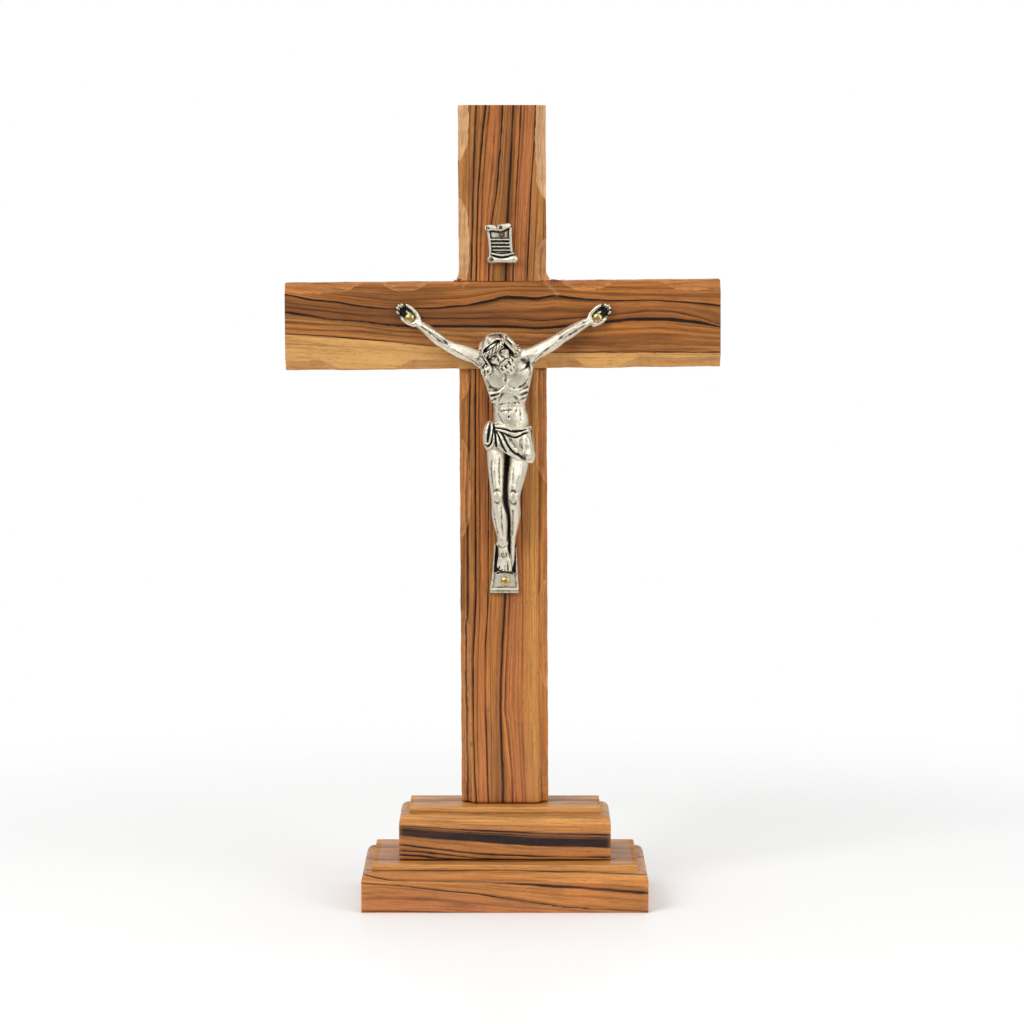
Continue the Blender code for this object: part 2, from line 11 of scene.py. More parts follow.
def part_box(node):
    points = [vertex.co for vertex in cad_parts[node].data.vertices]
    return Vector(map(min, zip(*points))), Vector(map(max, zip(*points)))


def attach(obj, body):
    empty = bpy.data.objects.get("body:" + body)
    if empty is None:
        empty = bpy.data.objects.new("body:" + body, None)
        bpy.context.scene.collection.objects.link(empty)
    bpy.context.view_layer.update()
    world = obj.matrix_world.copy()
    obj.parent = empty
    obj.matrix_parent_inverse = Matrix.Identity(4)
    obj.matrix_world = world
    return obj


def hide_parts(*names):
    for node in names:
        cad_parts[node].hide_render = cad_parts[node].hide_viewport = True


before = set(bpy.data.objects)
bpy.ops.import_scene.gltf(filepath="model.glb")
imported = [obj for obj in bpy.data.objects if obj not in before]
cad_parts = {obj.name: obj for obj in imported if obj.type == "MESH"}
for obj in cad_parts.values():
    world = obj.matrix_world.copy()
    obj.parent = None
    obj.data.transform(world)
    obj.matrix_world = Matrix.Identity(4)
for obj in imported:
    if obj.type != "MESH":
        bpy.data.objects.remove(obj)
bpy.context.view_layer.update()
mm = 0.001
# the castings sit this far to one side of the cross's middle
castingShift = -0.0004
scene = bpy.context.scene


# ---- making objects


def linked(name, data):
    thing = bpy.data.objects.new(name, data)
    scene.collection.objects.link(thing)
    return thing


def aimed(thing, place, target):
    thing.location = place
    thing.rotation_euler = (Vector(target) - thing.location).to_track_quat("-Z", "Y").to_euler()


def meshFrom(bm, name):
    mesh = bpy.data.meshes.new(name)
    bm.to_mesh(mesh)
    bm.free()
    return mesh


def meshPiece(name, vertices, faces, material, smoothUnder=180):
    mesh = bpy.data.meshes.new(name)
    mesh.from_pydata([tuple(v) for v in vertices], [], [tuple(face) for face in faces])
    mesh.materials.append(material)
    mesh.validate()
    mesh.shade_smooth()
    if smoothUnder < 180:
        mesh.set_sharp_from_angle(angle=math.radians(smoothUnder))
    print(name, len(faces), "faces")
    return linked(name, mesh)


def stitched(rings):
    # faces between rings of equal length, each a list of points in order round the piece, closed at both ends
    count, vertices, faces = len(rings[0]), [point for ring in rings for point in ring], []
    for level in range(len(rings) - 1):
        for k in range(count):
            a, b = level * count + k, level * count + (k + 1) % count
            faces.append((a, b, b + count, a + count))
    last = len(vertices) - count
    return vertices, [*faces, tuple(reversed(range(count))), tuple(range(last, last + count))]


def outward(piece):
    bm = bmesh.new()
    bm.from_mesh(piece.data)
    bmesh.ops.recalc_face_normals(bm, faces=bm.faces)
    bm.to_mesh(piece.data)
    bm.free()
    return piece


def realised(piece):
    # what its modifiers make of it becomes its own mesh
    bpy.context.view_layer.update()
    made = bpy.data.meshes.new_from_object(piece.evaluated_get(bpy.context.evaluated_depsgraph_get()))
    piece.modifiers.clear()
    piece.data = made
    return piece


def grown(name, tree, values):
    # a mesh made by a Geometry Nodes tree from its named inputs
    piece = linked(name, bpy.data.meshes.new(name))
    growth = piece.modifiers.new("growth", "NODES")
    growth.node_group = tree
    for item in tree.interface.items_tree:
        if item.in_out == "INPUT":
            growth[item.identifier] = values[item.name]
    return realised(piece)


def kept(piece, node, slotName):
    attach(piece, "root")
    if node:
        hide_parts(node)
    return piece


def pointValues(piece, label, values):
    layer = piece.data.attributes.new(label, "FLOAT", "POINT")
    layer.data.foreach_set("value", np.asarray(values, np.float32))


def middleOf(node):
    low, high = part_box(node)
    return (low + high) / 2


# ---- making nodes


class Nodes:
    # makes nodes in one tree. A value is a plain one or another node's socket, which is linked
    def __init__(self, tree):
        self.tree = tree

    def node(self, kind, values=None, **settings):
        node = self.tree.nodes.new(kind)
        for key, value in settings.items():
            setattr(node, key, value)
        for key, value in (values or {}).items():
            socket = node.inputs[key]
            if isinstance(value, bpy.types.NodeSocket):
                self.tree.links.new(value, socket)
            elif socket.type == "RGBA":
                socket.default_value = (*value, 1)
            else:
                socket.default_value = value
        return node

    def out(self, kind, values=None, **settings):
        return self.node(kind, values, **settings).outputs[0]

    def calc(self, kind, a, b=0.0, c=0.0):
        return self.out("ShaderNodeMath", {0: a, 1: b, 2: c}, operation=kind, use_clamp=kind == "MAXIMUM")

    def times(self, vector, factors):
        return self.out("ShaderNodeVectorMath", {0: vector, 1: factors}, operation="MULTIPLY")

    def spread(self, value, low, high, bottom=0.0, top=1.0, shape="LINEAR"):
        values = {"Value": value, "From Min": low, "From Max": high, "To Min": bottom, "To Max": top}
        return self.out("ShaderNodeMapRange", values, interpolation_type=shape)

    def coords(self):
        return self.node("ShaderNodeTexCoord").outputs["Object"]

    def noise(self, vector, scale, detail, roughness=0.5):
        values = {"Vector": vector, "Scale": scale, "Detail": detail, "Roughness": roughness}
        return self.out("ShaderNodeTexNoise", values)

    def attribute(self, label):
        return self.node("ShaderNodeAttribute", attribute_name=label).outputs["Fac"]

    def ramp(self, value, stops):
        # stops are (place, colour), in order
        node = self.node("ShaderNodeValToRGB", {"Fac": value})
        elements = node.color_ramp.elements
        elements.remove(elements[1])
        elements[0].position, elements[0].color = stops[0][0], (*stops[0][1], 1)
        for place, colour in stops[1:]:
            elements.new(place).color = (*colour, 1)
        return node.outputs["Color"]

    def mixed(self, amount, base, tint, kind="MIX"):
        values = {0: amount, 6: base, 7: tint}
        return self.node(
            "ShaderNodeMix", values, data_type="RGBA", blend_type=kind, clamp_factor=True
        ).outputs[2]

    def principled(self, values, height, strength, distance=0.0001):
        bump = self.out("ShaderNodeBump", {"Strength": strength, "Distance": distance, "Height": height})
        shader = self.out("ShaderNodeBsdfPrincipled", {**values, "Normal": bump})
        self.node("ShaderNodeOutputMaterial", {"Surface": shader})


def newMaterial(name):
    material = bpy.data.materials.new(name)
    material.use_nodes = True
    material.node_tree.nodes.clear()
    return material, Nodes(material.node_tree)


def groupTree(name, kind, inputs, outputs):
    # a node group with named sockets
    tree = bpy.data.node_groups.new(name, kind)
    for way, sockets in (("INPUT", inputs), ("OUTPUT", outputs)):
        for label, socketKind in sockets.items():
            tree.interface.new_socket(label, in_out=way, socket_type="NodeSocket" + socketKind)
    nodes = Nodes(tree)
    return tree, nodes, nodes.node("NodeGroupInput").outputs


def geometryEnd(nodes, geometry, material):
    real = nodes.out("GeometryNodeRealizeInstances", {"Geometry": geometry})
    dressed = nodes.out("GeometryNodeSetMaterial", {"Geometry": real, "Material": material})
    nodes.node("NodeGroupOutput", {0: dressed})


def linear(red, green, blue):
    # a colour given from 0 to 255, as the shader wants it
    parts = [part / 255 for part in (red, green, blue)]
    return tuple(p / 12.92 if p <= 0.04045 else ((p + 0.055) / 1.055) ** 2.4 for p in parts)


def fibrousWood(name, fineness, detail, stops, relief):
    # fineness is how close its fibres lie along each axis, per metre
    material, nodes = newMaterial(name)
    grain = nodes.noise(nodes.times(nodes.coords(), fineness), 1.0, detail)
    nodes.principled({"Base Color": nodes.ramp(grain, stops), "Roughness": 0.6}, grain, relief)
    return material


# ---- camera, light and floor

view = {"distance": 1.25, "elevation": 5.2, "lookAt": (0.0023, 0.0, 0.1276), "lens": 134.3}
studio = {
    "backdrop": 1.0,  # what the camera sees behind the cross
    "surround": 0.66,  # what lights it from all round
    "front": 0.16,  # and from the camera's side, which is dark
    "key": {"size": 0.7, "power": 11.0, "from": (-0.75, -1.0, 0.95)},
    "fill": {"size": 0.8, "power": 6.4, "from": (0.95, -0.9, 0.6)},
    "top": {"size": 0.6, "power": 2.0, "from": (0.05, 0.15, 1.25)},
    "floorGloss": 0.1,
    "floorRoughness": 0.22,
    "floorGlow": 0.03,
    "floorRadius": 0.42,
}
white = (1, 1, 1)


def setCamera():
    data = bpy.data.cameras.new("camera")
    data.lens, data.sensor_width = view["lens"], 36
    data.clip_start, data.clip_end = 0.01, 20
    scene.camera = linked("camera", data)
    tilt = math.radians(view["elevation"])
    target = Vector(view["lookAt"])
    aimed(scene.camera, target + view["distance"] * Vector((0, -math.cos(tilt), math.sin(tilt))), target)


def setLights():
    for name in ("key", "fill", "top"):
        lamp = studio[name]
        data = bpy.data.lights.new(name, "AREA")
        data.size, data.energy = lamp["size"], lamp["power"]
        aimed(linked(name, data), lamp["from"], (0, 0, 0.13))


def setWorld():
    scene.world = bpy.data.worlds.new("studio")
    scene.world.use_nodes = True
    scene.world.node_tree.nodes.clear()
    nodes = Nodes(scene.world.node_tree)
    direction = nodes.node("ShaderNodeTexCoord").outputs["Generated"]
    depth = nodes.node("ShaderNodeSeparateXYZ", {0: direction}).outputs["Y"]
    facing = nodes.spread(depth, -0.95, -0.35, studio["front"], studio["surround"], "SMOOTHSTEP")
    lit = nodes.out("ShaderNodeBackground", {"Color": white, "Strength": facing})
    seen = nodes.out("ShaderNodeBackground", {"Color": white, "Strength": studio["backdrop"]})
    camera = nodes.node("ShaderNodeLightPath").outputs["Is Camera Ray"]
    nodes.node(
        "ShaderNodeOutputWorld", {"Surface": nodes.out("ShaderNodeMixShader", {0: camera, 1: lit, 2: seen})}
    )


def setFloor():
    radius = studio["floorRadius"]
    bm = bmesh.new()
    bmesh.ops.create_circle(bm, cap_ends=True, segments=96, radius=radius)
    floor = linked("floor", meshFrom(bm, "floor"))
    material, nodes = newMaterial("white floor")
    matt = nodes.out("ShaderNodeBsdfDiffuse", {"Color": (0.93, 0.93, 0.925)})
    gloss = nodes.out("ShaderNodeBsdfGlossy", {"Roughness": studio["floorRoughness"]})
    glow = nodes.out("ShaderNodeEmission", {"Color": white, "Strength": studio["floorGlow"]})
    surface = nodes.out("ShaderNodeMixShader", {0: studio["floorGloss"], 1: matt, 2: gloss})
    lit = nodes.out("ShaderNodeAddShader", {0: surface, 1: glow})
    far = nodes.node("ShaderNodeVectorMath", {0: nodes.coords()}, operation="LENGTH").outputs["Value"]
    fade = nodes.spread(far, radius * 0.35, radius * 0.95, shape="SMOOTHSTEP")
    clear = nodes.out("ShaderNodeBsdfTransparent")
    faded = nodes.out("ShaderNodeMixShader", {0: fade, 1: lit, 2: clear})
    nodes.node("ShaderNodeOutputMaterial", {"Surface": faded})
    floor.data.materials.append(material)


def setStage():
    setCamera()
    setWorld()
    setLights()
    setFloor()
    scene.view_settings.view_transform = "Standard"
    print("stage set")


# ---- olive wood


def oliveGrainGroup():
    # Vector runs along the grain in X and across it in Y and Z. Place is where a point lies in the board's
    # figure, with its lines drawn straight. All are in metres
    inputs = {"Vector": "Vector", "Place": "Float", "Wander": "Float", "Jitter": "Float", "Seed": "Float"}
    outputs = {
        label: "Float"
        for label in ("Place", "Clouds", "Veins", "Strength", "Fibre", "Pores", "Height")
    }
    _, nodes, given = groupTree("oliveGrain", "ShaderNodeTree", inputs, outputs)
    calc, spread = nodes.calc, nodes.spread

    def streaks(vector, along, across, through, detail, offset):
        # noise with its own frequency in each direction, per metre
        shift = calc("ADD", given["Seed"], offset)
        values = {
            "Vector": nodes.times(vector, (along, across, through)), "W": shift, "Scale": 1.0,
            "Detail": detail
        }
        return nodes.out("ShaderNodeTexNoise", values, noise_dimensions="4D")

    def stretched(along, across, detail, offset):
        return streaks(given["Vector"], along, across, across, detail, offset)

    def offset(noise, size):
        return calc("MULTIPLY", calc("SUBTRACT", noise, 0.5), size)

    parts = nodes.node("ShaderNodeSeparateXYZ", {0: given["Vector"]}).outputs
    wander = offset(stretched(35, 90, 2, 1.0), given["Wander"])
    jitter = offset(stretched(160, 1500, 3, 2.0), given["Jitter"])
    place = calc("ADD", calc("ADD", given["Place"], wander), jitter)
    bent = nodes.out("ShaderNodeCombineXYZ", {"X": parts["X"], "Y": place, "Z": parts["Z"]})

    def streaked(along, across, detail, shift):
        # noise that follows the board's own lines
        return streaks(bent, along, across, across / 5, detail, shift)

    pores = stretched(420, 3400, 2, 9.0)
    fibre = streaked(80, 2300, 4, 7.0)
    veins = spread(streaked(14, 900, 3, 6.0), 0.52, 0.66)
    threads = spread(streaked(9, 2100, 2, 11.0), 0.55, 0.64, 0.0, 0.9)
    results = {
        "Place": place, "Clouds": spread(streaked(26, 240, 3, 5.0), 0.42, 0.66),
        "Veins": calc("MAXIMUM", veins, threads),
        "Strength": spread(stretched(45, 160, 1, 8.0), 0.3, 0.6, 0.62, 1.1), "Fibre": fibre,
        "Pores": spread(pores, 0.57, 0.68),
        "Height": calc("MULTIPLY_ADD", fibre, 0.6, calc("MULTIPLY", pores, -0.5))
    }
    nodes.node("NodeGroupOutput", results)


woodTones = {
    "honey": linear(222, 168, 100), "gold": linear(210, 148, 78), "tan": linear(190, 126, 66),
    "orange": linear(194, 120, 54), "rose": linear(194, 120, 68), "brown": linear(136, 84, 42),
    "umber": linear(98, 56, 27), "black": linear(30, 14, 9), "cut": linear(226, 180, 132),
    "cutShade": linear(204, 150, 102), "fresh": linear(224, 152, 88)
}


def grainLine(at, width, power, path, side=1, halo=1.8):
    # a dark line of the figure: where it lies if drawn straight, how wide and how dark it is, and its path,
    # (along, across). One edge is crisp, the one on its side fades into a halo that many times its width
    edge = width / 2
    reach = edge * 2 * halo
    fall = [(-edge * 1.7, 0.0), (-edge, power), (edge, power), (edge * 1.6, power * 0.45), (reach, 0.0)]
    return {"at": at, "path": path, "profile": sorted((at + side * offset, value) for offset, value in fall)}


def calmed(path):
    # a line through given points, with its corners rounded off
    steps = np.arange(path[0][0] - 12, path[-1][0] + 12, 0.5)
    weights = np.hanning(13)
    padded = np.pad(np.interp(steps, *zip(*path, strict=True)), len(weights) // 2, mode="edge")
    return steps, np.convolve(padded, weights / weights.sum(), mode="valid")


def figureAt(board, along, across):
    # where each point lies among the board's lines, if those were drawn straight, in millimetres
    low, high = board["edges"]
    levels = [low - 60, low, *(line["at"] for line in board["lines"]), high, high + 60]
    drawn = [np.interp(along, *calmed(line["path"])) for line in board["lines"]]
    ends = [np.full(len(along), level) for level in (low - 60.0, low, high, high + 60.0)]
    heights = [*ends[:2], *drawn, *ends[2:]]
    place = np.zeros(len(along))
    for k, (below, above) in enumerate(zip(heights[:-1], heights[1:], strict=True)):
        share = np.minimum((across - below) / np.maximum(above - below, 0.05), 1)
        place = np.where((across >= below) | (k == 0), levels[k] + share * (levels[k + 1] - levels[k]), place)
    return place


def patchesAt(patches, along, across):
    # listed patches, each (along, across, half length, half width, amount)
    shade = np.zeros(len(along))
    for middle, height, reach, spread, amount in patches:
        shade += amount * np.exp(-(((along - middle) / reach) ** 2) - ((across - height) / spread) ** 2)
    return np.clip(shade, -1, 1)


def figureValues(piece, board, along, across):
    pointValues(piece, "figure", figureAt(board, along, across) * mm)
    pointValues(piece, "shade", patchesAt(board["patches"], along, across))
    pointValues(piece, "quiet", patchesAt(board["quiet"], along, across))


def oliveMaterial(name, board):
    # axes: which object axes run along and across the board, and through it
    material, nodes = newMaterial(name)
    calc, spread, mixed = nodes.calc, nodes.spread, nodes.mixed
    axes = nodes.node("ShaderNodeSeparateXYZ", {0: nodes.coords()}).outputs
    vector = nodes.out("ShaderNodeCombineXYZ", {k: axes[letter] for k, letter in enumerate(board["axes"])})
    shade, cut, quiet = (nodes.attribute(label) for label in ("shade", "cut", "quiet"))
    given = {"Vector": vector, "Place": nodes.attribute("figure")}
    given |= {key: board[key.lower()] for key in ("Wander", "Jitter", "Seed")}
    grain = nodes.node("ShaderNodeGroup", given, node_tree=bpy.data.node_groups["oliveGrain"]).outputs
    low, high = board["edges"]
    scaled = spread(grain["Place"], low * mm, high * mm)

    def share(place):
        return min(max((place - low) / (high - low), 0), 1)

    colour = nodes.ramp(scaled, [(share(place), woodTones[tone]) for place, tone in board["grounds"]])
    for amount, tone in ((1.0, "orange"), (-1.0, "brown")):
        colour = mixed(spread(shade, 0.0, amount), colour, woodTones[tone])
    loud = calc("MAXIMUM", calc("SUBTRACT", 1.0, quiet))
    for label, amount, tone in (("Clouds", "cloudy", "brown"), ("Veins", "veined", "umber")):
        shown = calc("MULTIPLY", calc("MULTIPLY", grain[label], board[amount]), loud)
        colour = mixed(shown, colour, woodTones[tone])
    mask, atOnce = 0.0, 6  # a ramp has room for six lines
    for start in range(0, len(board["lines"]), atOnce):
        profiles = [line["profile"] for line in board["lines"][start : start + atOnce]]
        stops = []
        for place in sorted([low, high, *(place for profile in profiles for place, _ in profile)]):
            value = max(np.interp(place, *zip(*profile, strict=True)) for profile in profiles)
            stops.append((share(place), (value, value, value)))
        mask = calc("MAXIMUM", mask, nodes.out("ShaderNodeRGBToBW", {0: nodes.ramp(scaled, stops)}))
    mask = calc("MULTIPLY", mask, calc("SUBTRACT", grain["Strength"], quiet))
    colour = mixed(calc("MULTIPLY", mask, 1.5), colour, woodTones["umber"])
    colour = mixed(spread(mask, 0.38, 0.82), colour, woodTones["black"])
    # a shallow cut only warms the wood, a deep one is pale. The same cut values also carry painted highlights
    # along the base's edges and the scoops' rims
    warmed = mixed(0.9, colour, woodTones["fresh"])
    pale = mixed(calc("MULTIPLY", grain["Clouds"], 0.7), colour, woodTones["cutShade"])
    pale = mixed(0.82, pale, woodTones["cut"])
    colour = mixed(cut, colour, mixed(spread(cut, 0.2, 0.7), warmed, pale))
    fibre = nodes.ramp(grain["Fibre"], [(0.32, (0.62, 0.57, 0.52)), (0.5, white), (0.68, (1.26, 1.22, 1.16))])
    colour = mixed(calc("MULTIPLY_ADD", quiet, -0.5, 0.85), colour, fibre, "MULTIPLY")
    colour = mixed(calc("MULTIPLY", grain["Pores"], 0.38), colour, woodTones["umber"])
    matt = spread(cut, 0.0, 0.15)
    values = {
        "Base Color": colour,
        "Roughness": calc("MULTIPLY_ADD", matt, 0.3, spread(grain["Fibre"], 0.25, 0.75, 0.5, 0.36)),
        "Coat Weight": calc("MULTIPLY_ADD", matt, -0.14, 0.14), "Coat Roughness": 0.18,
        "Specular IOR Level": 0.32
    }
    nodes.principled(values, grain["Height"], 0.3)
    return material


# ---- base

baseShape = {
    "rise": 0.0021,  # the raised field on top
    "ledge": 0.0005,
    "round": 0.0028,
    "ease": 0.00025,
    "cornerRadius": 0.0004,
    "roundSteps": 8,
}


def baseProfile(height):
    # (inset, height) from the underside up
    rise, reach, ease, steps = (baseShape[key] for key in ("rise", "round", "ease", "roundSteps"))
    shoulder = height - rise - reach
    profile = [(ease, 0.0), (ease * 0.3, ease * 0.3), (0.0, ease)]
    for k in range(steps + 1):
        angle = math.pi / 2 * k / steps
        profile.append((reach * (1 - math.cos(angle)), shoulder + reach * math.sin(angle)))
    inner = reach + baseShape["ledge"]
    profile += [(inner, height - rise), (inner, height - ease), (inner + ease * 0.3, height - ease * 0.3)]
    return [*profile, (inner + ease, height)]


def rectangleRing(halfX, halfY, z, perSide=60, perCorner=3):
    radius, quarter = baseShape["cornerRadius"], math.pi / 2

    def at(corner, angle):
        sx, sy = ((1, -1), (1, 1), (-1, 1), (-1, -1))[corner % 4]
        x, y = sx * (halfX - radius), sy * (halfY - radius)
        return Vector((x + radius * math.cos(angle), y + radius * math.sin(angle), z))

    ring = []
    for corner in range(4):
        start = quarter * (corner - 1)
        ring += [at(corner, start + quarter * k / perCorner) for k in range(perCorner + 1)]
        end = at(corner + 1, start + quarter)
        ring += [ring[-1].lerp(end, k / perSide) for k in range(1, perSide)]
    return ring


def bored(piece, screws):
    # the counterbores on the underside that the screw heads sit in
    bm = bmesh.new()
    wide, below = 0.00365, 0.002
    for screw in screws:
        middle, top = middleOf(screw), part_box(screw)[0].z + 0.0024
        made = bmesh.ops.create_cone(
            bm, cap_ends=True, segments=48, radius1=wide, radius2=wide, depth=top + below
        )
        bmesh.ops.translate(bm, verts=made["verts"], vec=(middle.x, middle.y, (top - below) / 2))
    cutter = linked("counterbores", meshFrom(bm, "counterbores"))
    cutting = piece.modifiers.new("holes", "BOOLEAN")
    cutting.operation, cutting.solver, cutting.object = "DIFFERENCE", "EXACT", cutter
    realised(piece)
    bpy.data.objects.remove(cutter)


def buildBlock(node, board):
    low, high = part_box(node)
    size = high - low
    profile = baseProfile(size.z)
    dense = []
    for (inset, z), (nextInset, nextZ) in zip(profile[:-1], profile[1:], strict=True):
        steps = max(1, round(math.hypot(nextInset - inset, nextZ - z) / 0.0005))
        dense += [
            (inset + (nextInset - inset) * k / steps, z + (nextZ - z) * k / steps)
            for k in range(steps)
        ]
    last, reach = profile[-1][0], size.y / 2 - 0.0006
    dense += [(last + (reach - last) * (k / 14), size.z) for k in range(15)]
    dense = [(reach - (reach - profile[0][0]) * k / 8, 0.0) for k in range(8)] + dense
    rings = [rectangleRing(size.x / 2 - inset, size.y / 2 - inset, low.z + z) for inset, z in dense]
    piece = outward(meshPiece(node + "Worked", *stitched(rings), oliveMaterial(node + " olive", board), 28))
    if low.z < 0.001:
        bored(piece, ("shaft_screw", "block_screw_left", "block_screw_right"))
    x, y, z = np.array([vertex.co[:] for vertex in piece.data.vertices]).T / mm
    height, tall = z - low.z / mm, size.z / mm
    figureValues(piece, board, x, height + board["tilt"] * (y - low.y / mm))
    # painted highlights: the top edges and the corners are drawn paler and warmer, through the cut value
    inX, inY = size.x / 2 / mm - np.abs(x), size.y / 2 / mm - np.abs(y)
    inset = np.minimum(inX, inY)
    rim = np.hypot(inset - (baseShape["round"] + baseShape["ledge"]) / mm, height - tall)
    shoulder = np.hypot(inset, height - tall + (baseShape["rise"] + baseShape["round"]) / mm)
    near = np.minimum(np.minimum(rim, shoulder), np.hypot(inX, inY))
    pointValues(piece, "cut", 0.45 * np.exp(-((near / 0.42) ** 2)))
    kept(piece, node, "base_wood")


# ---- sculpting: a block of clay is a grid of signed distances, in millimetres
# x runs to the viewer's right, f forwards out of the cross and z up, from between the pins in the palms


def smoothMin(a, b, blend):
    if blend <= 0:
        return np.minimum(a, b)
    h = np.clip(0.5 + 0.5 * (b - a) / blend, 0, 1)
    return b + (a - b) * h - blend * h * (1 - h)


def within(*shapes):
    # what is inside all the shapes
    return reduce(np.maximum, shapes)


def curved(stations, steps=4):
    # a smooth path through given stations, each (x, f, z, radius)
    points = np.array(stations, float)
    if len(points) < 3:
        return points
    padded = np.vstack([2 * points[0] - points[1], points, 2 * points[-1] - points[-2]])
    path = []
    for k in range(1, len(padded) - 2):
        p0, p1, p2, p3 = padded[k - 1 : k + 3]
        bend, twist = 2 * p0 - 5 * p1 + 4 * p2 - p3, 3 * p1 - p0 - 3 * p2 + p3
        path += [
            0.5 * (2 * p1 + (p2 - p0) * t + bend * t**2 + twist * t**3)
            for t in np.arange(steps) / steps
        ]
    path = np.array([*path, points[-1]])
    path[:, 3] = np.maximum(path[:, 3], 0.02)
    return path


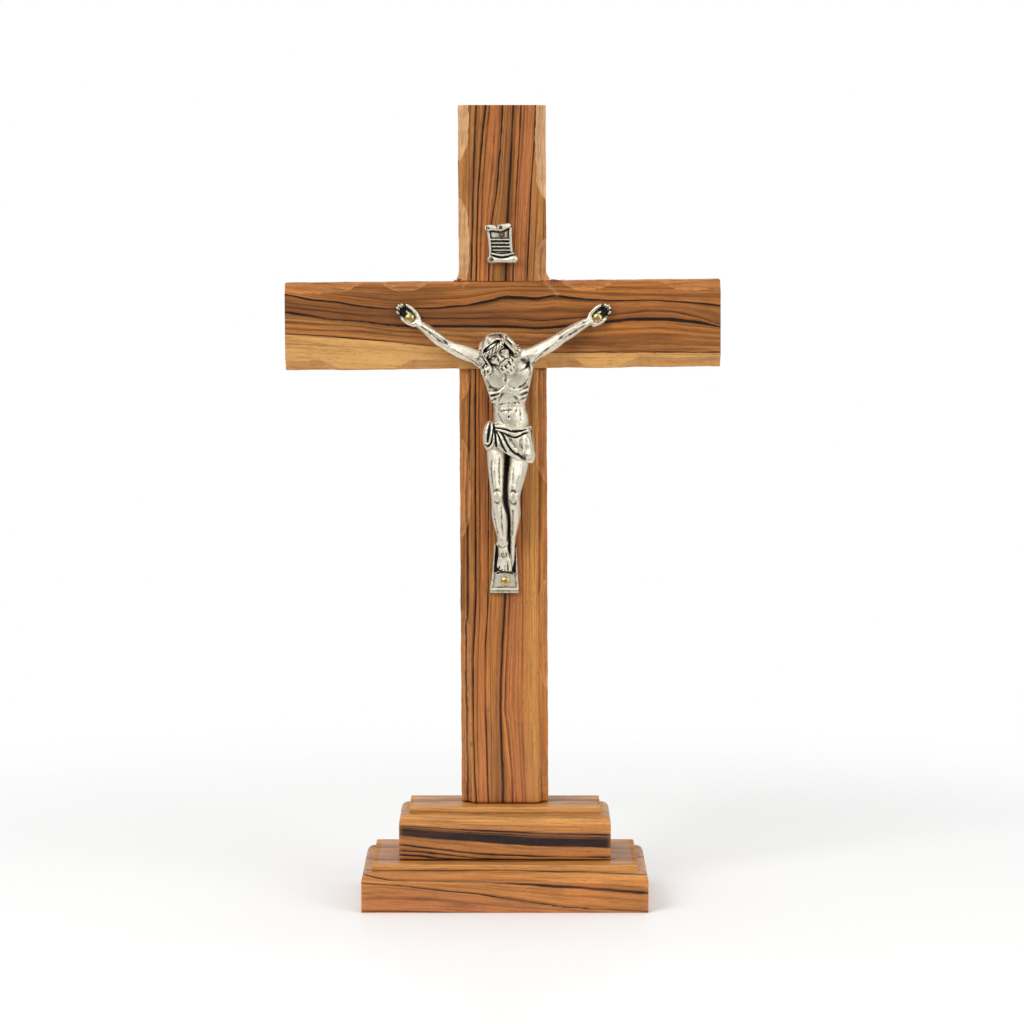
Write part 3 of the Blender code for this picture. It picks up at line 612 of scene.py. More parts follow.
class Clay:
    def __init__(self, low, high, cell):
        self.low, self.cell = np.array(low, float), cell
        self.shape = tuple(int(math.ceil((b - a) / cell)) + 1 for a, b in zip(low, high, strict=True))
        self.field = np.full(self.shape, 4.0, np.float32)
        self.axes = [a + cell * np.arange(count) for a, count in zip(self.low, self.shape, strict=True)]
        self.grid = np.ix_(*self.axes)

    def window(self, low, high):
        first = np.maximum(np.floor((low - self.low) / self.cell).astype(int), 0)
        last = np.minimum(np.ceil((high - self.low) / self.cell).astype(int) + 1, self.shape)
        spot = tuple(slice(a, b) for a, b in zip(first, last, strict=True))
        return spot, np.ix_(*(axis[part] for axis, part in zip(self.axes, spot, strict=True)))

    def press(self, spot, distance, blend, carve):
        distance = distance.astype(np.float32)
        if carve:
            self.field[spot] = -smoothMin(-self.field[spot], distance, blend)
        else:
            self.field[spot] = smoothMin(self.field[spot], distance, blend)

    def add(self, shape, blend):
        self.press(..., shape, blend, False)

    def trim(self, outside, blend=0.0):
        # only what is also inside the other shape stays
        self.press(..., -outside, blend, True)

    def tube(self, stations, blend=0.3, flat=1.0, carve=False, steps=4):
        # a tapered tube along a path. flat is its depth over its width
        path = curved(stations, steps)
        reach = path[:, 3].max() + 1.2 + blend
        spot, (x, f, z) = self.window(path[:, :3].min(0) - reach, path[:, :3].max(0) + reach)
        gaps = []
        for a, b in zip(path[:-1], path[1:], strict=True):
            dx, df, dz, grows = (b - a) / (1, flat, 1, 1)
            px, pf, pz = x - a[0], (f - a[1]) / flat, z - a[2]
            length = max(dx**2 + df**2 + dz**2, 1e-9)
            t = np.clip((px * dx + pf * df + pz * dz) / length, 0, 1)
            far = np.sqrt((px - dx * t) ** 2 + (pf - df * t) ** 2 + (pz - dz * t) ** 2)
            gaps.append(far - (a[3] + grows * t))
        self.press(spot, reduce(np.minimum, gaps) * math.sqrt(flat), blend, carve)

    def lump(self, centre, radii, blend=0.5, turn=None, carve=False):
        # an ellipsoid. turn is a matrix whose columns are its own axes
        reach = max(radii) + 1.2 + blend
        centre = np.array(centre, float)
        spot, grid = self.window(centre - reach, centre + reach)
        d = [grid[k] - centre[k] for k in range(3)]
        if turn is not None:
            d = [d[0] * turn[0][k] + d[1] * turn[1][k] + d[2] * turn[2][k] for k in range(3)]
        far = np.sqrt(sum((d[k] / radii[k]) ** 2 for k in range(3)))
        steep = np.sqrt(sum((d[k] / radii[k] ** 2) ** 2 for k in range(3))) + 1e-6
        self.press(spot, far * (far - 1) / steep, blend, carve)

    def front(self, x, z):
        # how far forward the clay comes at one place, seen from the front
        i = int(np.clip(round((x - self.low[0]) / self.cell), 0, self.shape[0] - 1))
        k = int(np.clip(round((z - self.low[2]) / self.cell), 0, self.shape[2] - 1))
        inside = np.nonzero(self.field[i, :, k] < 0)[0]
        return self.low[1] + self.cell * (inside[-1] + 0.5 if len(inside) else 0)

    def draw(self, path, blend=0.25, carve=True, depth=0.0):
        # a groove or ridge drawn on the front, its path given as (x, z, radius)
        sunk = 0.35 if carve else -0.3
        steps = curved([(x, 0, z, radius) for x, z, radius in path], 3)
        stations = [(x, self.front(x, z) + depth + sunk * radius, z, radius) for x, _, z, radius in steps]
        self.tube(stations, blend, carve=carve, steps=1)

    def drawAll(self, paths, blend=0.25, carve=True, depth=0.0, lift=0.0):
        for path in paths:
            self.draw([(x, z + lift, radius) for x, z, radius in path], blend, carve, depth)

    def sample(self, points):
        place = (points - self.low) / self.cell
        base = np.clip(np.floor(place).astype(int), 0, np.array(self.shape) - 2)
        t = np.clip(place - base, 0, 1)
        total = np.zeros(len(points))
        for corner in product((0, 1), repeat=3):
            weight = np.prod([t[:, k] if on else 1 - t[:, k] for k, on in enumerate(corner)], axis=0)
            total += weight * self.field[tuple((base + corner).T)]
        return total

    def slope(self, points):
        parts = [self.sample(points + step) - self.sample(points - step) for step in np.eye(3) * self.cell]
        normals = np.stack(parts, 1)
        return normals / np.maximum(np.linalg.norm(normals, axis=1, keepdims=True), 1e-9)

    def skin(self):
        # a net of quads over the surface: one point in each cell that it crosses
        solid = self.field < 0
        cells = tuple(count - 1 for count in self.shape)
        count = np.zeros(cells, np.int8)
        for corner in product((0, 1), repeat=3):
            count += solid[tuple(slice(a, a + n) for a, n in zip(corner, cells, strict=True))]
        crossed = np.argwhere((count > 0) & (count < 8))
        index = np.full(cells, -1, np.int64)
        index[tuple(crossed.T)] = np.arange(len(crossed))
        total, hits, faces = np.zeros((len(crossed), 3)), np.zeros(len(crossed)), []
        for axis, p, q in product(range(3), (0, 1), (0, 1)):
            start = np.insert([p, q], axis, 0)
            end = np.insert([p, q], axis, 1)
            a, b = (self.field[tuple((crossed + corner).T)] for corner in (start, end))
            cross = (a < 0) != (b < 0)
            point = np.tile(start.astype(float), (len(a), 1))
            point[:, axis] = np.where(cross, a / np.where(cross, a - b, 1), 0)
            total[cross] += point[cross]
            hits += cross
        for axis in range(3):
            u, v = [other for other in range(3) if other != axis]
            ahead = [slice(None)] * 3
            behind = list(ahead)
            behind[axis], ahead[axis] = slice(0, -1), slice(1, None)
            here = solid[tuple(behind)]
            edges = np.argwhere(here != solid[tuple(ahead)])
            inner = (edges[:, u] > 0) & (edges[:, v] > 0)
            edges = edges[inner & (edges < cells).all(1)]
            around = []
            for du, dv in ((-1, -1), (0, -1), (0, 0), (-1, 0)):
                cell = edges.copy()
                cell[:, u] += du
                cell[:, v] += dv
                around.append(index[tuple(cell.T)])
            quad = np.stack(around, 1)
            leaving = here[tuple(edges.T)] != (axis == 1)
            quad[leaving] = quad[leaving][:, ::-1]
            faces.append(quad)
        return self.low + (crossed + total / hits[:, None]) * self.cell, np.vstack(faces)


def casting(name, clay, origin, material, shadedHollows=()):
    # skins the clay, moves it into the cross's own frame and notes how deep each point lies in its hollows:
    # the material paints them dark, as patina and as painted shade
    points, faces = clay.skin()
    normals = clay.slope(points)
    patinaAndShade = np.zeros(len(points))
    # occlusion, sampled outwards along each normal: patina and painted shade in the hollows
    for reach, weight in ((0.3, 0.3), (0.6, 0.3), (1.1, 0.25), (2.0, 0.15)):
        patinaAndShade += weight * np.clip(1 - clay.sample(points + normals * reach) / reach, 0, 1)
    # the boxes given are painted black throughout, as patina and painted shade
    for low, high in shadedHollows:
        patinaAndShade += 0.8 * np.clip(np.min(np.minimum(points - low, high - points), 1) / 0.5, 0, 1)
    crest = np.clip(1 + clay.sample(points - normals * 0.35) / 0.35, 0, 1)
    points = np.array(origin) + points * np.array((mm, -mm, mm))
    piece = meshPiece(name, points.tolist(), faces.tolist(), material)
    pointValues(piece, "patinaAndShade", patinaAndShade)
    pointValues(piece, "crest", crest)
    return piece


# ---- cast metal

metalTones = {
    "bright": linear(238, 231, 212), "middle": linear(184, 175, 155), "dull": linear(110, 101, 86),
    "black": linear(20, 18, 16)
}


def castMaterial():
    material, nodes = newMaterial("old silver casting")
    calc, coords = nodes.calc, nodes.coords()
    mottle = nodes.noise(coords, 900.0, 4.0)
    specks = nodes.noise(coords, 2400.0, 5.0, 0.7)
    grit = nodes.noise(coords, 5200.0, 3.0)
    # patina and painted shade darken the hollows found by occlusion; wear brightens the crests
    wearPatinaAndShade = calc("MULTIPLY_ADD", nodes.attribute("crest"), -0.35, nodes.attribute("patinaAndShade"))
    for noise, share in ((mottle, 0.4), (specks, 0.34), (grit, 0.12)):
        wearPatinaAndShade = calc("MULTIPLY_ADD", calc("SUBTRACT", noise, 0.5), share, wearPatinaAndShade)
    stops = ((0.0, "bright"), (0.06, "bright"), (0.16, "middle"), (0.28, "dull"), (0.42, "black"))
    values = {
        "Base Color": nodes.ramp(wearPatinaAndShade, [(place, metalTones[tone]) for place, tone in stops]),
        "Metallic": nodes.spread(wearPatinaAndShade, 0.3, 0.5, 1.0, 0.2),
        "Roughness": nodes.spread(wearPatinaAndShade, 0.05, 0.45, 0.4, 0.75)
    }
    nodes.principled(values, calc("MULTIPLY_ADD", specks, 0.8, calc("ADD", mottle, grit)), 0.6, 0.00014)
    return material


# ---- figure


def sculptTrunk(clay):
    clay.lump((1.4, 5.0, -18.6), (6.6, 3.9, 8.4), 1.2)
    clay.tube([(-7.2, 5.0, -13.6, 2.3), (1.0, 4.8, -12.6, 2.4), (8.8, 5.0, -11.9, 2.3)], 1.2)
    trunk = [
        (1.5, 5.0, -22.6, 6.4), (1.7, 4.7, -26.0, 5.5), (1.9, 4.6, -29.5, 5.2), (2.3, 4.7, -33.0, 5.7),
        (2.1, 4.6, -36.0, 5.8)
    ]
    clay.tube(trunk, 1.2, 0.66)
    clay.lump((-2.2, 7.5, -18.6), (3.7, 1.6, 4.0), 0.8)
    clay.lump((4.9, 7.5, -17.8), (3.7, 1.6, 4.1), 0.8)
    # side muscles from the armpits down, and the belly between them
    clay.tube([(-6.2, 5.0, -16.4, 1.4), (-4.6, 6.2, -22.0, 1.0), (-3.4, 6.4, -26.5, 0.9)], 0.7)
    clay.tube([(8.2, 5.0, -15.6, 1.5), (7.4, 6.2, -21.4, 1.1), (6.4, 6.4, -26.0, 0.9)], 0.7)
    clay.lump((1.7, 6.9, -31.2), (3.4, 1.6, 3.2), 0.8)
    clay.tube([(0.8, 5.6, -12.2, 2.2), (0.2, 6.2, -10.6, 2.2), (-0.8, 7.0, -9.2, 2.2)], 0.9)
    # collar bones and the cords of the neck
    bones = [
        [(0.6, -14.0, 0.3), (-3.4, -13.4, 0.5), (-6.6, -13.0, 0.3)],
        [(1.8, -13.8, 0.3), (5.4, -12.7, 0.5), (8.6, -11.6, 0.3)]
    ]
    clay.drawAll(bones, 0.4, False)
    clay.draw([(1.1, -14.2, 0.4), (2.6, -11.4, 0.5), (3.0, -9.8, 0.4)], 0.3, False)
    ridges = [
        [(-4.6, -24.4, 0.2), (-3.0, -24.1, 0.36), (-1.2, -23.7, 0.2)],
        [(-4.2, -25.9, 0.2), (-2.7, -25.3, 0.36), (-1.0, -24.7, 0.2)],
        [(7.7, -22.8, 0.2), (6.4, -23.5, 0.36), (4.7, -24.2, 0.2)],
        [(7.5, -24.5, 0.2), (6.3, -25.1, 0.36), (4.8, -25.7, 0.2)],
        [(-0.3, -24.4, 0.3), (-0.5, -28.8, 0.45), (-0.2, -30.4, 0.3)],
        [(3.3, -24.4, 0.3), (3.7, -28.6, 0.45), (3.4, -30.4, 0.3)]
    ]
    clay.drawAll(ridges, 0.35, False)
    cuts = [
        [
            (-5.6, -20.0, 0.12), (-4.4, -21.9, 0.3), (-2.8, -22.9, 0.38), (-0.9, -22.5, 0.34),
            (0.3, -21.2, 0.16)
        ],
        [(8.0, -19.4, 0.12), (6.6, -21.4, 0.3), (4.8, -22.3, 0.38), (2.6, -22.3, 0.34), (1.3, -21.3, 0.16)],
        [(0.6, -15.4, 0.12), (0.6, -18.0, 0.3), (0.65, -21.0, 0.42), (0.85, -23.4, 0.3)],
        [(-5.0, -23.4, 0.2), (-3.4, -23.3, 0.26), (-1.7, -23.2, 0.12)],
        [(-4.7, -25.1, 0.2), (-3.0, -24.7, 0.28), (-1.3, -24.2, 0.14)],
        [(-4.2, -26.8, 0.18), (-2.8, -26.1, 0.28), (-1.3, -25.4, 0.14)],
        [(8.0, -22.0, 0.2), (6.6, -22.7, 0.26), (4.9, -23.3, 0.12)],
        [(7.9, -23.7, 0.2), (6.5, -24.3, 0.28), (4.9, -24.9, 0.14)],
        [(7.6, -25.4, 0.18), (6.3, -26.0, 0.28), (5.0, -26.5, 0.14)],
        [(0.5, -23.8, 0.16), (-0.9, -25.0, 0.26), (-1.8, -27.4, 0.28), (-1.8, -31.4, 0.22)],
        [(1.3, -23.8, 0.16), (3.2, -24.8, 0.24), (5.0, -27.2, 0.28), (5.6, -31.0, 0.24)],
        [(1.55, -24.8, 0.14), (1.6, -27.5, 0.26), (1.65, -30.6, 0.16)],
        [(-1.5, -27.8, 0.12), (0.2, -27.5, 0.22), (1.5, -27.3, 0.18)],
        [(1.7, -27.3, 0.18), (3.4, -27.2, 0.22), (4.9, -27.2, 0.12)],
        [(-0.9, -30.0, 0.12), (1.7, -29.6, 0.22), (4.4, -29.8, 0.12)],
        [(-1.4, -31.6, 0.12), (-0.6, -33.2, 0.2), (0.4, -34.2, 0.14)],
        [(5.4, -31.4, 0.12), (5.4, -32.8, 0.22), (4.6, -34.2, 0.14)]
    ]
    clay.drawAll(cuts, 0.3)
    clay.lump((1.65, clay.front(1.65, -31.8), -31.8), (0.3, 0.5, 0.38), 0.2, carve=True)
    for x, z in ((-1.9, -21.3), (5.0, -20.6)):
        clay.lump((x, clay.front(x, z) - 0.08, z), (0.3, 0.25, 0.26), 0.12)


def sculptArms(clay):
    arms = [
        [
            (-6.2, 5.2, -13.8, 2.5), (-9.0, 5.0, -12.4, 2.35), (-11.2, 4.7, -11.6, 2.45),
            (-13.7, 4.4, -10.7, 2.34), (-16.6, 4.0, -9.6, 1.99), (-19.4, 3.7, -8.0, 1.88),
            (-21.4, 3.3, -6.6, 2.05), (-24.2, 2.8, -4.3, 1.77), (-26.6, 2.1, -2.6, 1.42),
            (-28.2, 1.8, -1.6, 1.2)
        ],
        [
            (7.8, 5.2, -12.6, 2.6), (10.4, 5.0, -11.0, 2.3), (13.2, 4.7, -9.6, 2.28), (16.0, 4.3, -8.1, 2.17),
            (18.9, 3.8, -6.1, 1.99), (21.5, 3.3, -4.6, 1.99), (24.3, 2.7, -2.9, 1.71),
            (26.6, 2.1, -1.7, 1.42), (28.2, 1.8, -1.0, 1.2)
        ]
    ]
    for stations in arms:
        clay.tube(stations, 0.9, 0.95)
    # muscles that stand out, and the lines between them
    ridges = [
        [(-9.0, -13.2, 0.5), (-12.4, -11.8, 0.9), (-15.4, -10.4, 0.5)],
        [(-18.2, -7.6, 0.4), (-22.0, -5.0, 0.7), (-26.0, -2.6, 0.35)],
        [(10.4, -12.0, 0.5), (13.4, -10.2, 0.9), (16.2, -8.4, 0.5)],
        [(18.2, -5.8, 0.4), (21.6, -3.8, 0.7), (25.6, -1.9, 0.35)]
    ]
    clay.drawAll(ridges, 0.6, False)
    cuts = [
        [(-26.8, -2.7, 0.14), (-23.6, -5.0, 0.26), (-20.6, -7.4, 0.26), (-18.4, -8.6, 0.14)],
        [(-17.2, -9.2, 0.12), (-13.8, -11.6, 0.26), (-10.2, -13.6, 0.22), (-7.6, -15.6, 0.2)],
        [(-19.6, -6.6, 0.12), (-18.6, -7.9, 0.24), (-17.4, -9.0, 0.12)],
        [(26.4, -2.3, 0.14), (23.0, -4.4, 0.24), (20.0, -6.2, 0.2), (18.6, -7.3, 0.12)],
        [(17.6, -7.6, 0.12), (14.2, -9.8, 0.24), (11.6, -12.2, 0.22), (9.4, -14.6, 0.2)],
        [(20.0, -4.4, 0.12), (18.9, -5.9, 0.22), (17.8, -7.1, 0.12)],
        [(27.2, -1.0, 0.12), (25.6, -1.6, 0.22), (24.0, -2.6, 0.12)]
    ]
    clay.drawAll(cuts, 0.3)
    for side in (-1, 1):
        armpit = ((7.4, -11.8, 0.15), (8.2, -13.6, 0.3), (7.2, -15.8, 0.3), (5.0, -17.2, 0.15))
        clay.draw([(side * x, z, radius) for x, z, radius in armpit])


def sculptHand(clay, side):
    # an open hand, palm forwards, its fingers spread and bent a little towards the viewer
    wrist = np.array((side * 28.0, 1.7, -1.6))
    lean = math.radians(40)
    along = np.array((side * math.cos(lean), 0, math.sin(lean)))
    across = np.array((-side * math.sin(lean), 0, math.cos(lean)))  # towards the thumb
    out = np.array((0, 1.0, 0))

    def at(a, c, f, radius):
        place = wrist + along * a + across * c + out * (f - wrist[1])
        return (*place, radius)

    turn = np.stack([along, out, across], 1)
    clay.lump(at(3.3, 0.0, 1.0, 0)[:3], (3.6, 0.8, 2.5), 0.7, turn)
    clay.lump(at(6.2, 0.1, 0.7, 0)[:3], (2.4, 0.5, 2.2), 0.4, turn)
    # the thumb lies along the upper edge of the palm, the heel of the hand along the lower one
    thumb = [
        at(0.0, 0.9, 1.9, 0.85), at(2.0, 2.0, 2.0, 0.72), at(4.4, 2.4, 2.3, 0.55), at(6.2, 2.2, 2.4, 0.45)
    ]
    clay.tube(thumb, 0.3)
    clay.tube([at(0.4, -1.1, 1.7, 0.9), at(2.4, -2.0, 1.8, 0.75), at(4.6, -2.2, 1.7, 0.55)], 0.4)
    for offset, reach in ((-1.75, 7.2), (-0.62, 8.0), (0.55, 8.1), (1.6, 7.5)):
        clay.tube(
            [
                at(4.4, offset * 1.05, 1.2, 0.42), at(6.2, offset * 1.05, 1.15, 0.42),
                at(reach - 0.8, offset * 0.92, 1.6, 0.44), at(reach, offset * 0.8, 2.3, 0.44)
            ], 0.06
        )
    for offset in (-1.2, -0.02, 1.12):
        gap = [at(4.0, offset, 1.7, 0.16), at(6.2, offset, 1.3, 0.26), at(8.2, offset * 0.86, 1.7, 0.16)]
        clay.tube(gap, 0.1, carve=True)
    clay.lump((side * 30.6, 2.8, 0.3), (2.1, 0.9, 1.9), 0.25, carve=True)


def sculptLegs(clay):
    near = [
        (-2.4, 5.2, -40.0, 3.2), (-2.35, 5.8, -45.7, 2.95), (-2.3, 6.6, -50.7, 2.6), (-2.1, 7.4, -55.0, 2.25),
        (-1.95, 7.7, -57.8, 2.1), (-1.8, 7.2, -60.4, 2.1), (-1.3, 6.5, -63.8, 2.6), (-0.9, 5.9, -67.3, 2.25),
        (-0.55, 5.3, -70.6, 1.7), (-0.5, 5.0, -73.0, 1.5)
    ]
    far = [
        (5.0, 5.2, -40.0, 3.5), (4.95, 5.8, -45.7, 3.2), (4.2, 6.6, -50.7, 2.95), (3.4, 7.3, -55.0, 2.45),
        (3.1, 7.5, -58.0, 2.15), (3.3, 6.7, -60.6, 2.05), (3.45, 5.6, -63.8, 2.05), (3.2, 4.5, -67.3, 1.7),
        (2.9, 3.6, -70.6, 1.3), (2.6, 3.0, -73.6, 1.1)
    ]
    clay.tube(far, 0.25)
    clay.tube(near, 0.2)
    for knee in ((-2.1, -57.4), (3.1, -57.8)):
        clay.lump((knee[0], clay.front(*knee) - 0.65, knee[1]), (1.4, 0.72, 1.7), 0.9)
    ridges = [
        [(-2.6, -43.5, 0.4), (-3.0, -49.0, 0.9), (-2.7, -54.5, 0.4)],
        [(5.6, -46.5, 0.4), (5.0, -50.5, 0.9), (4.0, -55.0, 0.4)],
        [(-2.2, -60.0, 0.3), (-1.7, -65.0, 0.5), (-0.8, -71.0, 0.3)],
        [(4.2, -60.6, 0.3), (4.3, -65.0, 0.45), (3.4, -71.0, 0.25)]
    ]
    clay.drawAll(ridges, 0.7, False)
    cuts = [
        [(-1.3, -45.0, 0.1), (-1.4, -50.0, 0.2), (-1.2, -55.0, 0.1)],
        [(-4.0, -46.0, 0.1), (-3.9, -51.0, 0.22), (-3.3, -55.8, 0.12)],
        [(3.2, -46.5, 0.1), (3.0, -50.5, 0.2), (2.6, -55.4, 0.1)],
        [(-3.3, -58.4, 0.08), (-2.1, -59.7, 0.16), (-0.9, -58.6, 0.08)],
        [(1.9, -58.6, 0.08), (3.1, -60.1, 0.16), (4.3, -59.0, 0.08)],
        [(-3.2, -56.0, 0.1), (-2.1, -55.2, 0.18), (-1.0, -55.9, 0.1)],
        [(2.0, -56.2, 0.1), (3.1, -55.5, 0.18), (4.2, -56.3, 0.1)],
        [(3.0, -60.6, 0.1), (2.9, -65.0, 0.2), (2.7, -70.4, 0.1)],
        [(-0.8, -61.0, 0.1), (-0.6, -65.6, 0.18), (-0.2, -70.2, 0.1)],
        [(-3.3, -61.5, 0.1), (-2.9, -65.6, 0.2), (-1.9, -70.0, 0.1)]
    ]
    clay.drawAll(cuts, 0.35)
    clay.tube(
        [(1.1, 1.2, -41.5, 1.2), (0.9, 1.2, -52.0, 1.0), (0.8, 1.2, -60.0, 0.9), (1.1, 1.2, -71.0, 0.9)], 0.1
    )


def sculptFeet(clay):
    # the viewer's left foot lies over the other one
    under = [(2.6, 3.0, -73.4, 1.1), (2.4, 2.6, -76.5, 1.25), (2.2, 2.2, -79.4, 1.2), (2.0, 2.0, -81.0, 0.9)]
    clay.tube(under, 0.3)
    clay.lump((-2.0, 4.9, -73.2), (0.55, 0.6, 0.6), 0.4)
    clay.lump((0.9, 5.0, -73.0), (0.6, 0.6, 0.6), 0.4)
    top = [
        (-0.5, 5.0, -72.6, 1.45), (-0.25, 5.0, -74.6, 1.55), (0.0, 4.4, -76.8, 1.75),
        (0.25, 3.7, -79.0, 1.95), (0.35, 3.2, -80.4, 1.9)
    ]
    clay.tube(top, 0.5, 0.85)
    toes = (
        (-1.75, -80.9, 0.44), (-1.0, -81.5, 0.48), (-0.15, -81.8, 0.5), (0.8, -81.9, 0.54),
        (1.95, -81.7, 0.74)
    )
    for x, z, radius in toes:
        clay.tube(
            [
                (x * 0.8, 4.6, z + 3.4, radius * 0.8), (x * 0.95, 4.6, z + 1.6, radius * 0.95),
                (x * 1.02, 4.0, z, radius)
            ], 0.14
        )
    for k in range(4):
        x = -1.35 + 0.86 * k + 0.1 * (k == 3)
        clay.draw([(x * 0.7, -77.8, 0.1), (x, -80.4, 0.2), (x * 1.02, -82.2, 0.2)], 0.1)
    for x, z, radius in toes:
        clay.draw([(x - radius * 0.4, z - 0.15, 0.07), (x + radius * 0.4, z - 0.15, 0.07)], 0.05)
    clay.draw([(-1.7, -73.6, 0.12), (-0.4, -74.6, 0.22), (0.9, -73.8, 0.12)], 0.3)
    hollow = clay.front(0.05, -76.8)
    clay.lump((0.05, hollow, -76.8), (0.7, 0.25, 0.55), 0.15)
    clay.lump((0.05, hollow + 0.2, -76.8), (0.38, 0.45, 0.28), 0.1, carve=True)


def sculptPlate(clay, pinZ):
    # the plate behind the feet: a tapered frame, a shelf under the toes and the pinned tab below it
    top, bottom = -73.7, pinZ - 2.75
    x, f, z = clay.grid
    share = np.clip((z - bottom) / (top - bottom), 0, 1)
    left = -4.15 + share * 1.15 - 0.35 * np.clip(1 - share / 0.25, 0, 1)
    right = 4.75 - share * 0.7 + 0.15 * np.clip(1 - share / 0.25, 0, 1)
    edge = within(left - x, x - right)
    outline = within(edge, z - top, bottom - z, 0.05 - f)
    sill = pinZ + 2.9 - 0.12 * (x - 0.4) ** 2 * (np.abs(x - 0.4) < 2.6)
    clay.add(within(outline, f - 0.85), 0.15)
    clay.add(within(outline, -0.5 - edge, f - 1.75, pinZ + 2.2 - z), 0.15)
    clay.add(within(edge + 0.1, z - sill, 0.05 - f, f - 1.45), 0.15)
    clay.add(within(outline, -0.4 - within(edge, bottom - z), f - 1.8, z - (pinZ + 2.4)), 0.15)


def sculptHead(clay):
    # the head hangs forwards and to one side. Its own axes: side to the viewer's right, ahead and up
    up = np.array((-0.60, 0.20, 0.77))
    up /= np.linalg.norm(up)
    ahead = np.array((0.12, 0.95, -0.28))
    ahead -= up * (ahead @ up)
    ahead /= np.linalg.norm(ahead)
    right = np.cross(ahead, up)
    right *= math.copysign(1, right[0])
    middle = np.array((-2.1, 8.2, -10.6))
    size = 1.14
    turn = np.stack([right, ahead, up], 1)

    def at(r, g, u, radius=None):
        place = middle + (right * r + ahead * g + up * u) * size
        return tuple(place) if radius is None else (*place, radius * size)

    def both(stations, blend, carve=False):
        for side in (-1, 1):
            clay.tube([at(side * r, g, u, radius) for r, g, u, radius in stations], blend, carve=carve)

    def lump(place, radii, blend, carve=False):
        clay.lump(place, [radius * size for radius in radii], blend, turn, carve)

    lump(at(0, -0.3, 0.9), (3.35, 4.05, 4.0), 0.6)
    lump(at(0, 0.9, -1.7), (2.75, 2.9, 3.5), 1.0)
    lump(at(0, 1.3, 1.9), (2.8, 2.4, 2.2), 0.8)
    clay.tube([(0.4, 5.6, -13.6, 2.3), (0.0, 6.2, -11.5, 2.3)], 0.9)
    # brow, closed eyes, nose, cheeks and mouth, on the usual divisions of a head
    both([(2.4, 2.9, 0.75, 0.3), (1.5, 3.5, 1.0, 0.36), (0.5, 3.7, 0.8, 0.34)], 0.5)
    for side in (-1, 1):
        lump(at(side * 1.42, 4.0, 0.15), (1.0, 0.75, 0.6), 0.4, True)
        lump(at(side * 1.42, 3.05, 0.1), (0.72, 0.62, 0.5), 0.12)
        lump(at(side * 2.05, 2.5, -1.0), (0.95, 0.8, 0.8), 0.8)
        lump(at(side * 0.52, 4.1, -1.75), (0.36, 0.42, 0.32), 0.2)
    both([(0.85, 3.58, -0.12, 0.06), (1.42, 3.72, -0.2, 0.09), (2.0, 3.4, -0.12, 0.06)], 0.1, True)
    clay.tube([at(0, 3.7, 0.75, 0.34), at(0, 4.15, -0.6, 0.4), at(0, 4.55, -1.55, 0.5)], 0.35)
    clay.tube([at(-0.95, 3.5, -2.95, 0.16), at(0, 3.95, -2.8, 0.27), at(0.95, 3.5, -2.95, 0.16)], 0.2)
    clay.tube([at(-0.8, 3.45, -3.3, 0.18), at(0, 3.85, -3.4, 0.3), at(0.8, 3.45, -3.3, 0.18)], 0.2)
    clay.tube([at(-1.0, 3.8, -3.1, 0.06), at(0, 4.3, -3.08, 0.1), at(1.0, 3.8, -3.1, 0.06)], 0.1, carve=True)
    both([(0.15, 4.15, -2.4, 0.26), (0.95, 3.75, -2.75, 0.28), (1.7, 3.0, -3.6, 0.24)], 0.12)
    # beard: locks from the cheeks and jaw that gather below the chin
    for k in range(13):
        swing = math.radians(-84 + 14 * k)
        wave = 0.22 * (-1) ** k
        r, g = math.sin(swing), math.cos(swing)
        clay.tube(
            [
                at(2.85 * r, 0.7 + 2.7 * g, -2.3 - 1.4 * g, 0.32),
                at(2.75 * r + wave, 1.0 + 2.75 * g, -3.8 - 0.8 * g, 0.42),
                at(2.1 * r - wave, 1.4 + 2.5 * g, -5.0 - 0.7 * g, 0.42),
                at(1.2 * r + wave, 1.8 + 1.9 * g, -6.0 - 0.9 * g, 0.3)
            ], 0.1
        )
    # hair: from the parting over both sides, then hanging straight down in waves
    clay.tube([(-6.2, 6.4, -9.0, 1.9), (-6.4, 6.6, -12.4, 1.8), (-5.4, 7.0, -16.2, 1.3)], 0.5)
    clay.tube([(0.8, 5.8, -6.8, 1.3), (3.0, 5.8, -8.8, 1.1), (3.8, 5.8, -11.0, 0.8)], 0.5)
    ends = {
        -1: (
            (-4.2, 9.4, -18.6), (-5.4, 9.3, -18.4), (-6.6, 8.8, -17.2), (-7.8, 8.0, -15.4), (-8.6, 7.2, -13.0)
        ),
        1: ((4.3, 9.0, -11.4), (4.9, 8.4, -11.2), (5.2, 7.6, -11.0), (5.0, 6.8, -10.2), (4.4, 6.0, -9.4))
    }
    for side, tips in ends.items():
        for k in range(13):
            share = k / 12
            back = 3.3 - 6.0 * share
            tip = np.array(tips[min(int(share * 5), 4)]) + np.array((0.4, -0.4, 0.6)) * ((k * 7) % 3 - 1)
            cheek = np.array(at(side * 3.8, back * 0.5 + 0.4, -1.2))
            along = tip - cheek
            wave = np.array((0.42 * (-1) ** k, 0.3, 0.0))
            path = [
                at(side * 0.15, back, 4.75 - 0.11 * back * back + 0.25),
                at(side * 2.6, back * 0.75 + 0.6, 3.6 - 0.5 * share), at(side * 3.55, back * 0.55 + 0.3, 1.2),
                cheek, cheek + along * 0.45 + wave, cheek + along * 0.75 - wave, tip
            ]
            radii = (0.22, 0.34, 0.36, 0.38, 0.38, 0.34, 0.16)
            clay.tube([(*p, radius) for p, radius in zip(path, radii, strict=True)], 0.04)
    for k in range(9):
        swing = math.radians(-64 + 16 * k)
        r = math.sin(swing)
        clay.tube(
            [
                at(0.1 * r, -2.4, 4.6, 0.3), at(2.4 * r, -3.6, 3.4, 0.5), at(3.3 * r, -4.1, 0.6, 0.55),
                at(3.2 * r, -3.4, -2.4, 0.5)
            ], 0.12
        )
